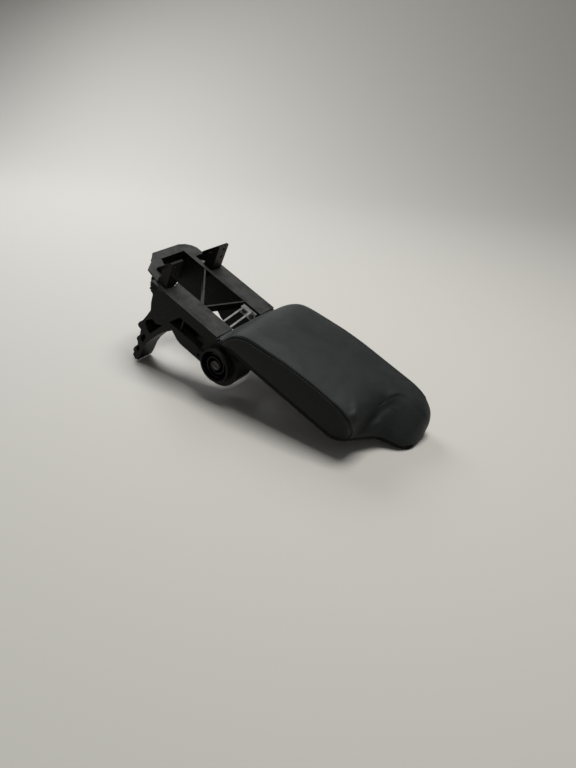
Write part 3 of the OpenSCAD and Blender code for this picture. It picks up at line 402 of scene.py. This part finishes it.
BLACK_PLASTIC = moulded_plastic("carrier_plastic", (0.0066, 0.0070, 0.0068), (0.04, 0.041, 0.04), 0.50, 0.5, 0.50)
TRAY_PLASTIC = moulded_plastic("tray_plastic", (0.0045, 0.0042, 0.0037), (0.02, 0.018, 0.016), 0.58, 0.3, 0.15)
DRUM_PLASTIC = moulded_plastic("drum_plastic", (0.004, 0.004, 0.004), (0.024, 0.024, 0.023), 0.46, 0.8, 0.1)
RUBBER = moulded_plastic("buffer_rubber", (0.018, 0.018, 0.018), (0.035, 0.035, 0.035), 0.75, 0.2, 0.3)
TOP_LEATHER = leather("cover_leather", (0.0168, 0.0208, 0.0204), 620.0, 0.52, 0.34)
SIDE_LEATHER = leather("panel_leather", (0.0036, 0.0048, 0.0054), 900.0, 0.40, 0.12)
PIPING_LEATHER = leather("piping_leather", (0.006, 0.0065, 0.007), 1200.0, 0.5, 0.10)
ZINC = metal("zinc_steel", (0.46, 0.47, 0.46), (0.24, 0.24, 0.235), 0.34)
DARK_STEEL = metal("dark_steel", (0.008, 0.0074, 0.0066), (0.006, 0.0055, 0.005), 0.42, 0.4, 0.5, 0.7)
SHAFT_STEEL = metal("shaft_steel", (0.07, 0.07, 0.07), (0.035, 0.033, 0.03), 0.36)
SPRING_STEEL = metal("spring_steel", (0.013, 0.013, 0.0135), (0.006, 0.006, 0.006), 0.38, 0.8, 0.5, 0.9)
SCREW_STEEL = metal("screw_steel", (0.10, 0.10, 0.103), (0.05, 0.05, 0.05), 0.36)
BUSH = metal("bush_brass", (0.32, 0.25, 0.12), (0.20, 0.15, 0.07), 0.38)
FOAM, foam_tree, foam_bsdf, foam_vec = start_material("foam")
foam_tree.links.new(
    mix_colour(foam_tree, noise(foam_tree, foam_vec, 500, 3), (0.5, 0.44, 0.3), (0.66, 0.6, 0.42)),
    foam_bsdf.inputs["Base Color"],
)
foam_bsdf.inputs["Roughness"].default_value = 0.9
THREAD, thread_tree, thread_bsdf, thread_vec = start_material("stitch_thread", Sheen_Weight=0.2)
thread_tree.links.new(
    mix_colour(thread_tree, noise(thread_tree, thread_vec, 2400, 2), (0.014, 0.016, 0.017), (0.034, 0.038, 0.040)),
    thread_bsdf.inputs["Base Color"],
)
thread_bsdf.inputs["Roughness"].default_value = 0.6

FINISH = {
    "carrier_plastic": BLACK_PLASTIC, "tray_plastic": TRAY_PLASTIC, "drum_plastic": DRUM_PLASTIC,
    "buffer_rubber": RUBBER, "foam": FOAM, "cover_leather": TOP_LEATHER, "panel_leather": SIDE_LEATHER,
    "piping_leather": PIPING_LEATHER, "zinc_steel": ZINC, "dark_steel": DARK_STEEL,
    "shaft_steel": SHAFT_STEEL, "spring_steel": SPRING_STEEL, "screw_steel": SCREW_STEEL,
    "bush_brass": BUSH,
}
body_of_node = {n: b for b, nodes in frame["record"]["behaviour"]["bodies"].items() for n in nodes}
slot_of_node = {s["node"]: s["material_slot"] for s in frame["record"]["subparts"]}

for node_name, node_obj in frame["nodes"].items():
    node_obj.data.materials.clear()
    node_obj.data.materials.append(FINISH[slot_of_node[node_name]])


BEVEL_FROM_ANGLE = 28


def dress(node, bevel):
    """A merged copy of a CAD node with its edges rounded. It stands for the node."""
    src = frame["nodes"][node]
    obj = bpy.data.objects.new(node + "_piece", src.data.copy())
    bpy.context.scene.collection.objects.link(obj)
    bm = bmesh.new()
    bm.from_mesh(obj.data)
    bmesh.ops.remove_doubles(bm, verts=bm.verts, dist=2e-6)
    bmesh.ops.dissolve_limit(bm, angle_limit=math.radians(1.0), verts=bm.verts, edges=bm.edges, delimit=set())
    bm.to_mesh(obj.data)
    bm.free()
    for p in obj.data.polygons:
        p.use_smooth = True
    b = obj.modifiers.new("edges", "BEVEL")
    b.width = bevel * MM
    b.segments = 2
    b.limit_method = "ANGLE"
    b.angle_limit = math.radians(BEVEL_FROM_ANGLE)
    b.harden_normals = True
    b.use_clamp_overlap = True
    w = obj.modifiers.new("normals", "WEIGHTED_NORMAL")
    w.keep_sharp = True
    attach(obj, body_of_node[node])
    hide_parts(node)


BEVELS = {  # width of the rounded edges, in mm
    "carrier_frame": 0.7, "tie_frame": 0.3, "right_screw_lug": 0.35, "left_screw_lug": 0.35,
    "right_brake_drum": 0.5, "left_brake_drum": 0.5, "hinge_shaft": 0.4, "right_hinge_arm": 0.5,
    "left_hinge_arm": 0.5, "right_brake_spring": 0.2, "left_brake_spring": 0.2, "base_tray": 0.8,
    "stop_buffers": 0.6,
}
for node_name, width in BEVELS.items():
    dress(node_name, width)


# The pad's skin is one grid of points: across it run the right side from foot to edge, the
# top from right to left, and the left side from edge to foot.
NEAR = np.array([-2.8, -1.5, -0.7, -0.25, 0, 0.25, 0.7, 1.5, 2.8])
ROW_Z = np.concatenate([
    REAR + np.array([0, 0.5, 1.3, 2.4, 3.8, 5.4, 6.8, 7.6, 8, 8.5, 9.6, 11.4, 14, 17.5, 22, 27, 33, 40]),
    np.linspace(REAR + 48, NOTCH - 40, 26),
    NOTCH + np.array([-35, -31, -27, -23.5, -20, -17, -14.6]),
    RIGHT_TIP - TIP_LEAD + NEAR,
    NOTCH + np.array([
        -5.6, -4, -2.6, -1.4, -0.6, 0, 0.5, 1.1, 1.8, 2.7, 3.8, 5.2, 7, 9.2, 12, 15.5, 19.5, 23.5, 26.6]),
    LEFT_TIP - TIP_LEAD + NEAR,
    NOTCH + np.array([37, 41, 45]),
    NOSE - np.array([16, 13, 10.5, 8.5, 6.8, 5.3, 4, 2.9, 2, 1.2, 0.6, 0.2, 0]),
])
ACROSS = (1 - np.cos(np.linspace(0, math.pi, 45))) / 2
DEPTHS = np.concatenate([[0.006, 0.017, 0.033, 0.056, 0.09], np.linspace(0.14, 1, 12)])
ROWS, TOP_COLS, SIDE_COLS = len(ROW_Z), len(ACROSS), len(DEPTHS)
COLS = TOP_COLS + 2 * SIDE_COLS
RIGHT_COL, LEFT_COL = SIDE_COLS, SIDE_COLS + TOP_COLS - 1
REAR_ROW = int(np.argmin(abs(ROW_Z - PANEL_REAR)))
RIGHT_ROW = int(np.argmin(abs(ROW_Z - (RIGHT_TIP - TIP_LEAD))))
LEFT_ROW = int(np.argmin(abs(ROW_Z - (LEFT_TIP - TIP_LEAD))))


def ease(t):
    t = np.clip(t, 0, 1)
    return t * t * (3 - 2 * t)


def top_points(z, u):
    """Points on the pad's top, at stations z and shares u across it."""
    z, u = np.meshgrid(z, u, indexing="ij")
    r, l = right_line(z), left_line(z)
    y = r + (l - r) * u
    wall = np.hypot(np.maximum(y - NOSE_SIDE + 14, 0), np.maximum(NOTCH - z, 0))
    gap = np.maximum(0, np.minimum(np.minimum(l - y, y - r), wall))

    def bulge(d):
        return np.sqrt(1 - (1 - np.minimum((d + EDGE_LEAD) / (EDGE_ROUND + EDGE_LEAD), 1)) ** 2)

    rise = (bulge(gap) - bulge(0)) / (1 - bulge(0))
    edge = right_edge(z) + (left_edge(z) - right_edge(z)) * ease(u)
    return np.stack([edge + (crown(z) - edge) * rise, y, z], axis=-1)


def side_points(z, edge_level, edge_line, foot_line, tip, roll=0.0):
    """Points down a side wall. Its rows bend so that one of them follows the seam at the tip.
    With roll above 0 the wall beside the nose leaves the top in a soft roll."""
    z0, d = np.meshgrid(z, DEPTHS, indexing="ij")
    level = edge_level(z0) + (COVER_END - edge_level(z0)) * d
    bend_levels = [float(edge_level(tip - TIP_LEAD))] + [UNDERSIDE - THICK * g for g in (0.69, 0.6, 0.44, 0.26)]
    shift = TIP_LEAD + np.interp(level, bend_levels, [-TIP_LEAD, -6.5, -3.4, -1, 0])
    zz = z0 + shift * (1 - ease(abs(z0 - tip + TIP_LEAD) / 25.5))
    xe, ye, yf = edge_level(zz), edge_line(zz), foot_line(zz)
    xf = np.maximum(FOOT, xe + 0.5)
    xg = np.maximum(xf + 0.1, LIP + (COVER_END - LIP) * ease((zz - RIM_FROM + 1.5) / 3))
    first = np.hypot(xf - xe, yf - ye)
    run = d * (first + xg - xf)
    t = np.minimum(run / first, 1)
    soft = roll * ease((zz - NOTCH - 1) / 14) * (1 - ease((zz - NOSE + 18) / 16))
    down = t + (1 - np.cos(t * math.pi / 2) - t) * soft
    out = t + (np.sin(t * math.pi / 2) - t) * soft
    x = xe + (xf - xe) * down + np.maximum(run - first, 0)
    return np.stack([x, ye + (yf - ye) * out, zz], axis=-1)


EDGE_REACH = {RIGHT_COL: 11, LEFT_COL: 4.5}


def rounded_edges(points):
    """Rounds the pad's edge where no seam runs along it, row by row."""
    out = points.copy()
    for col, tip_row in ((RIGHT_COL, RIGHT_ROW), (LEFT_COL, LEFT_ROW)):
        for i in range(tip_row + 1, ROWS):
            reach = EDGE_REACH[col] * float(ease((ROW_Z[i] - ROW_Z[tip_row]) / 10))
            s = np.concatenate([[0], np.cumsum(np.linalg.norm(np.diff(points[i], axis=0), axis=1))])
            share = np.gradient(s)
            w = np.exp(-((s[:, None] - s[None, :]) / max(reach, 0.05)) ** 2 / 2) * share[None, :]
            soft = (w @ points[i]) / w.sum(axis=1)[:, None]
            mask = (1 - ease((abs(s - s[col]) - 2 * reach) / 8))[:, None]
            out[i] += (soft - points[i]) * mask
    return out


NOSE_WALL_ROLL = 0.7
skin = np.concatenate([
    side_points(ROW_Z, right_edge, right_line, right_foot, RIGHT_TIP, NOSE_WALL_ROLL)[:, ::-1],
    top_points(ROW_Z, ACROSS),
    side_points(ROW_Z, left_edge, left_line, left_line, LEFT_TIP),
], axis=1)
skin = rounded_edges(skin)

# The nose is closed by a patch whose two sides are the last row's side walls
right_end, left_end, top_end = skin[-1, :RIGHT_COL][::-1], skin[-1, LEFT_COL + 1:], skin[-1, RIGHT_COL:LEFT_COL + 1]
share_down = (right_end[:, 0] - top_end[0, 0]) / (right_end[-1, 0] - top_end[0, 0])
front = np.empty((SIDE_COLS, TOP_COLS - 2, 3))
for k in range(SIDE_COLS):
    u = ACROSS[1:-1]
    front[k, :, 0] = top_end[1:-1, 0] + (COVER_END - top_end[1:-1, 0]) * share_down[k]
    front[k, :, 1] = right_end[k, 1] + (left_end[k, 1] - right_end[k, 1]) * u
    front[k, :, 2] = NOSE


def front_index(k, m):
    if k == 0:
        return (ROWS - 1) * COLS + RIGHT_COL + m
    if m == 0:
        return (ROWS - 1) * COLS + RIGHT_COL - k
    if m == TOP_COLS - 1:
        return (ROWS - 1) * COLS + LEFT_COL + k
    return ROWS * COLS + (k - 1) * (TOP_COLS - 2) + m - 1


def cell(i, j):
    a = i * COLS + j
    return (a, a + COLS, a + COLS + 1, a + 1)


def on_right_panel(i, j):
    return REAR_ROW <= i < RIGHT_ROW and j < RIGHT_COL


def on_left_panel(i, j):
    return REAR_ROW <= i < LEFT_ROW and j >= LEFT_COL


cells = [(i, j) for i in range(ROWS - 1) for j in range(COLS - 1)]
front_faces = [
    (front_index(k + 1, m), front_index(k + 1, m + 1), front_index(k, m + 1), front_index(k, m))
    for k in range(SIDE_COLS) for m in range(TOP_COLS - 1)
]
skin_faces = [cell(i, j) for i, j in cells] + front_faces
points = np.concatenate([skin.reshape(-1, 3), front.reshape(-1, 3)])
right_seam = [i * COLS + RIGHT_COL for i in range(REAR_ROW, RIGHT_ROW + 1)] + [
    RIGHT_ROW * COLS + j for j in range(RIGHT_COL - 1, -1, -1)]
left_seam = [i * COLS + LEFT_COL for i in range(REAR_ROW, LEFT_ROW + 1)] + [
    LEFT_ROW * COLS + j for j in range(LEFT_COL + 1, COLS)]


PRESSURE = 4.0
SWELL_FRAMES = 20
SWELL_MOST = 1.8


def swell(points, faces, held):
    """Lets the skin swell like filled leather between its seams, and returns the new points."""
    obj = mesh_piece("pressure_try", points * MM, faces, None)
    outward(obj)
    group = obj.vertex_groups.new(name="held")
    group.add([int(k) for k in np.nonzero(held)[0]], 1.0, "REPLACE")
    cloth = obj.modifiers.new("cloth", "CLOTH")
    cloth.settings.quality = 6
    cloth.settings.mass = 0.3
    cloth.settings.tension_stiffness = 25
    cloth.settings.compression_stiffness = 25
    cloth.settings.shear_stiffness = 12
    cloth.settings.bending_stiffness = 2.0
    cloth.settings.use_pressure = True
    cloth.settings.uniform_pressure_force = PRESSURE
    cloth.settings.effector_weights.gravity = 0
    cloth.settings.vertex_group_mass = "held"
    for f in range(1, SWELL_FRAMES + 1):
        bpy.context.scene.frame_set(f)
    done = obj.evaluated_get(bpy.context.evaluated_depsgraph_get()).to_mesh()
    moved = np.array([v.co for v in done.vertices], float) / MM
    bpy.context.scene.frame_set(1)
    bpy.data.objects.remove(obj, do_unlink=True)
    step = moved - points
    size = np.linalg.norm(step, axis=1)[:, None]
    return points + step * np.minimum(1, SWELL_MOST / np.maximum(size, 1e-9))


foot_loop = (
    [i * COLS for i in range(ROWS)] + [front_index(SIDE_COLS, m) for m in range(1, TOP_COLS - 1)]
    + [i * COLS + COLS - 1 for i in range(ROWS - 1, -1, -1)] + list(range(COLS - 2, 0, -1))
)
held = np.zeros(len(points))
held[foot_loop] = 1
held[right_seam] = 1
held[left_seam] = 1
held[: 4 * COLS] = 1
for i in range(REAR_ROW + 1):
    held[i * COLS:i * COLS + RIGHT_COL] = 1
    held[i * COLS + LEFT_COL:(i + 1) * COLS] = 1
points = swell(points, skin_faces + [tuple(foot_loop)], held)


def skin_normals(points):
    """Outward direction at each point of the skin."""
    obj = mesh_piece("normals_try", points, skin_faces, None)
    found = np.array([v.normal for v in obj.data.vertices], float)
    bpy.data.objects.remove(obj, do_unlink=True)
    middle = np.array([20.0, 0.0, (REAR + NOSE) / 2])
    if np.sum(found * (points - middle)) < 0:
        found = -found
    return found


def seam_distance(points, seams):
    """Distance of each point from the nearest seam."""
    least = np.full(len(points), 1e9)
    for seam in seams:
        a = points[seam]
        fine = np.concatenate([a[:-1] + (a[1:] - a[:-1]) * t for t in np.linspace(0, 1, 6)[:-1]])
        for q in np.array_split(np.arange(len(points)), 40):
            d = np.linalg.norm(points[q][:, None] - fine[None], axis=2).min(axis=1)
            least[q] = np.minimum(least[q], d)
    return least


away = seam_distance(points, (right_seam, left_seam))
lie = skin_normals(points)
seam_lines = {"right": points[right_seam].copy(), "left": points[left_seam].copy()}
seam_lie = {"right": lie[right_seam].copy(), "left": lie[left_seam].copy()}
# A seam draws the skin in, and the skin stands up a little beside it
drawn = -2.0 * np.exp(-(away / 1.05) ** 2) + 0.45 * np.exp(-((away - 2.5) / 1.1) ** 2)
points = points + lie * drawn[:, None]

# The top cover's rear edge is turned under the lip
hem_z = [REAR + 0.2, REAR + 1.2, REAR + 5, REAR + 11, RIM_FROM - 1.2]
hem = np.array([
    [(31.75 - 0.1 * (k == 0), y * (59.0 / 60.0 if k else 1.0), z) for y in points[RIGHT_COL:LEFT_COL + 1, 1]]
    for k, z in enumerate(hem_z)
])
hem_start = len(points)
hem_faces = []
for m in range(TOP_COLS - 1):
    above = (RIGHT_COL + m, RIGHT_COL + m + 1)
    for k in range(len(hem_z)):
        below = (hem_start + k * TOP_COLS + m, hem_start + k * TOP_COLS + m + 1)
        hem_faces.append((above[0], above[1], below[1], below[0]))
        above = below
points = np.concatenate([points, hem.reshape(-1, 3)])


COVER_THICK = 1.3


def skin_piece(name, faces, material):
    """One panel of the cover, cut from the skin."""
    used = sorted({v for f in faces for v in f})
    number = {v: k for k, v in enumerate(used)}
    obj = mesh_piece(name, points[used] * MM, [tuple(number[v] for v in f) for f in faces], material)
    bm = bmesh.new()
    bm.from_mesh(obj.data)
    bmesh.ops.recalc_face_normals(bm, faces=bm.faces)
    middle = Vector((0.02, 0, 0.25))
    if sum(f.normal.dot(f.calc_center_median() - middle) * f.calc_area() for f in bm.faces) < 0:
        bmesh.ops.reverse_faces(bm, faces=bm.faces)
    bm.to_mesh(obj.data)
    bm.free()
    wall = obj.modifiers.new("thickness", "SOLIDIFY")
    wall.thickness = COVER_THICK * MM
    wall.offset = -1
    fine = obj.modifiers.new("fine", "SUBSURF")
    fine.levels = fine.render_levels = 1
    return obj


right_cells = [cell(i, j) for i, j in cells if on_right_panel(i, j)]
left_cells = [cell(i, j) for i, j in cells if on_left_panel(i, j)]
top_cells = [cell(i, j) for i, j in cells if not on_right_panel(i, j) and not on_left_panel(i, j)]
for name, faces, material, node in (
    ("pad_top_cover", top_cells + front_faces + hem_faces, TOP_LEATHER, "top_cover"),
    ("pad_right_panel", right_cells, SIDE_LEATHER, "right_side_panel"),
    ("pad_left_panel", left_cells, SIDE_LEATHER, "left_side_panel"),
):
    piece = skin_piece(name, faces, material)
    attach(piece, "pad")
    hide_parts(node)

CORD_RADIUS, CORD_SUNK = 0.95, 1.25
for side, node in (("right", "right_piping"), ("left", "left_piping")):
    path = seam_lines[side] - CORD_SUNK * seam_lie[side]
    cord = tube(side + "_welt_cord", path[1:-1] * MM, CORD_RADIUS * MM, PIPING_LEATHER)
    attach(cord, "pad")
    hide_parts(node)


def stitch_tree():
    """Short threads set along a path at a fixed pitch."""
    tree = bpy.data.node_groups.new("stitches_along", "GeometryNodeTree")
    tree.interface.new_socket(name="Geometry", in_out="INPUT", socket_type="NodeSocketGeometry")
    sizes = {}
    for label, value in (("Pitch", 0.0045), ("Thread", 0.0004), ("Length", 0.0034)):
        s = tree.interface.new_socket(name=label, in_out="INPUT", socket_type="NodeSocketFloat")
        s.default_value = value
        sizes[label] = s.identifier
    tree.interface.new_socket(name="Geometry", in_out="OUTPUT", socket_type="NodeSocketGeometry")
    n = tree.nodes
    gin, gout = n.new("NodeGroupInput"), n.new("NodeGroupOutput")
    points_along = n.new("GeometryNodeCurveToPoints")
    points_along.mode = "LENGTH"
    thread = n.new("GeometryNodeMeshUVSphere")
    thread.inputs["Segments"].default_value = 8
    thread.inputs["Rings"].default_value = 6
    thread.inputs["Radius"].default_value = 1.0
    half = n.new("ShaderNodeMath")
    half.operation = "MULTIPLY"
    half.inputs[1].default_value = 0.5
    size = n.new("ShaderNodeCombineXYZ")
    inst = n.new("GeometryNodeInstanceOnPoints")
    real = n.new("GeometryNodeRealizeInstances")
    paint = n.new("GeometryNodeSetMaterial")
    paint.inputs["Material"].default_value = THREAD
    link = tree.links.new
    link(gin.outputs["Geometry"], points_along.inputs["Curve"])
    link(gin.outputs["Pitch"], points_along.inputs["Length"])
    link(gin.outputs["Length"], half.inputs[0])
    link(gin.outputs["Thread"], size.inputs["X"])
    link(gin.outputs["Thread"], size.inputs["Y"])
    link(half.outputs[0], size.inputs["Z"])
    link(points_along.outputs["Points"], inst.inputs["Points"])
    link(points_along.outputs["Rotation"], inst.inputs["Rotation"])
    link(thread.outputs["Mesh"], inst.inputs["Instance"])
    link(size.outputs["Vector"], inst.inputs["Scale"])
    link(inst.outputs["Instances"], real.inputs["Geometry"])
    link(real.outputs["Geometry"], paint.inputs["Geometry"])
    link(paint.outputs["Geometry"], gout.inputs["Geometry"])
    return tree, sizes


STITCHES, STITCH_SIZES = stitch_tree()


def run_tree(name, source, tree, values):
    """Runs a tree on a source object and keeps the result as a plain mesh."""
    mod = source.modifiers.new("tree", "NODES")
    mod.node_group = tree
    for identifier, value in values.items():
        mod[identifier] = value
    dg = bpy.context.evaluated_depsgraph_get()
    mesh = bpy.data.meshes.new_from_object(source.evaluated_get(dg))
    mesh.name = name
    obj = bpy.data.objects.new(name, mesh)
    bpy.context.scene.collection.objects.link(obj)
    if not mesh.materials:
        mesh.materials.append(THREAD)
    bpy.data.objects.remove(source, do_unlink=True)
    return obj


def path_curve(name, path):
    """A curve through the points of a path."""
    data = bpy.data.curves.new(name, "CURVE")
    data.dimensions = "3D"
    spline = data.splines.new("POLY")
    spline.points.add(len(path) - 1)
    for sp, p in zip(spline.points, path):
        sp.co = (*p, 1)
    obj = bpy.data.objects.new(name, data)
    bpy.context.scene.collection.objects.link(obj)
    return obj


SKIN_TREE = BVHTree.FromPolygons([Vector(p) for p in points[:hem_start]], skin_faces)


def beside_seam(side, distance):
    """Points on the skin at a distance from a seam."""
    line, up = seam_lines[side], seam_lie[side]
    keep = [0]
    for i in range(1, len(line)):
        if np.linalg.norm(line[i] - line[keep[-1]]) > 2.0:
            keep.append(i)
    line, up = line[keep], up[keep]
    along_line = np.gradient(line, axis=0)
    out = []
    for p, n, t in zip(line[1:-1], up[1:-1], along_line[1:-1]):
        lateral = np.cross(n, t)
        lateral /= np.linalg.norm(lateral)
        place_on = SKIN_TREE.find_nearest(Vector(p + lateral * distance))[0]
        out.append(np.array(place_on))
    out = np.array(out)
    out[1:-1] = (out[:-2] + 2 * out[1:-1] + out[2:]) / 4
    return out * MM


STITCH_FROM_SEAM = 3.6
STITCH_VALUES = {
    STITCH_SIZES["Pitch"]: 0.0046, STITCH_SIZES["Thread"]: 0.00030, STITCH_SIZES["Length"]: 0.0034,
}
for side in ("right", "left"):
    for where, distance in (("upper", STITCH_FROM_SEAM), ("lower", -STITCH_FROM_SEAM)):
        line = path_curve("path", beside_seam(side, distance))
        row = run_tree(f"{side}_{where}_stitches", line, STITCHES, STITCH_VALUES)
        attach(row, "pad")


# The part lies on the floor as it does in the photo, so the floor's upward direction is slanted
up = Vector((-0.937, 0.0, -0.350)).normalized()
right_axis = Vector((-0.35629, 0.57238, 0.73854))
up_axis = Vector((-0.66755, 0.39712, -0.62982))
forward_axis = Vector((0.65378, 0.71741, -0.24061))
away_from_camera = (forward_axis - up * forward_axis.dot(up)).normalized()
to_the_right = away_from_camera.cross(up).normalized()
target = Vector((0.03, 0.0, 0.17))
LOWEST_POINTS = ((0.185, -0.06, -0.015), (0.032, 0.05, 0.4))
FLOOR_GAP = 0.0005
COVE_FROM, COVE_RADIUS, BACKDROP_TOP, FLOOR_REACH, FLOOR_SIDE = 1.1, 0.9, 5.0, -3.0, 5.0


def make_floor():
    """A pale floor that turns up into a backdrop behind the part."""
    low = min(up.dot(Vector(c)) for c in LOWEST_POINTS)
    base = target + up * (low - FLOOR_GAP - up.dot(target))
    profile = [(FLOOR_REACH, 0.0), (COVE_FROM, 0.0)]
    for a in np.linspace(0, math.pi / 2, 18)[1:]:
        profile.append((COVE_FROM + COVE_RADIUS * math.sin(a), COVE_RADIUS - COVE_RADIUS * math.cos(a)))
    profile.append((COVE_FROM + COVE_RADIUS, BACKDROP_TOP))
    verts, faces = [], []
    for reach, height in profile:
        for side in (-FLOOR_SIDE, FLOOR_SIDE):
            verts.append(base + away_from_camera * reach + up * height + to_the_right * side)
    for k in range(len(profile) - 1):
        faces.append((2 * k, 2 * k + 1, 2 * k + 3, 2 * k + 2))
    obj = mesh_piece("floor", verts, faces, None)
    if obj.data.polygons[0].normal.dot(up) < 0:
        obj.data.flip_normals()
    mat, tree, bsdf, _ = start_material("floor_paint")
    bsdf.inputs["Base Color"].default_value = (0.52, 0.505, 0.475, 1)
    bsdf.inputs["Roughness"].default_value = 0.85
    out = tree.nodes["Material Output"]
    clear = tree.nodes.new("ShaderNodeBsdfTransparent")
    mix = tree.nodes.new("ShaderNodeMixShader")
    geo = tree.nodes.new("ShaderNodeNewGeometry")
    tree.links.new(geo.outputs["Backfacing"], mix.inputs[0])
    tree.links.new(bsdf.outputs[0], mix.inputs[1])
    tree.links.new(clear.outputs[0], mix.inputs[2])
    tree.links.new(mix.outputs[0], out.inputs["Surface"])
    obj.data.materials.append(mat)


make_floor()

scene = bpy.context.scene
world = bpy.data.worlds.new("studio")
world.use_nodes = True
world.node_tree.nodes["Background"].inputs["Color"].default_value = (0.78, 0.80, 0.80, 1)
world.node_tree.nodes["Background"].inputs["Strength"].default_value = 0.15
scene.world = world


def in_room(height, away, right):
    """A place in the studio, measured from the target."""
    return target + up * height + away_from_camera * away + to_the_right * right


def area_light(name, place_at, aim, size, power, colour):
    data = bpy.data.lights.new(name, "AREA")
    data.shape = "RECTANGLE"
    data.size = data.size_y = size
    data.energy = power
    data.color = colour
    obj = bpy.data.objects.new(name, data)
    scene.collection.objects.link(obj)
    obj.location = place_at
    obj.rotation_mode = "QUATERNION"
    obj.rotation_quaternion = (aim - place_at).to_track_quat("-Z", "Y")


area_light("ceiling", in_room(1.7, 0.05, 0.25), target, 0.7, 27, (1, 0.985, 0.96))
area_light("window", in_room(1.0, 1.1, -0.75), in_room(0, 0.5, -0.3), 0.9, 14, (0.95, 0.98, 1))

CAMERA_AT = (-0.51735, -0.64608, 0.42764)
camera_data = bpy.data.cameras.new("photo_camera")
camera_data.sensor_fit = "AUTO"
camera_data.sensor_width = 36
camera_data.lens = 28.75
camera_data.clip_start, camera_data.clip_end = 0.01, 50
camera = bpy.data.objects.new("photo_camera", camera_data)
scene.collection.objects.link(camera)
camera.matrix_world = Matrix([
    (right_axis[k], up_axis[k], -forward_axis[k], CAMERA_AT[k]) for k in range(3)
] + [(0, 0, 0, 1)])
scene.camera = camera
scene.view_settings.view_transform = "Standard"
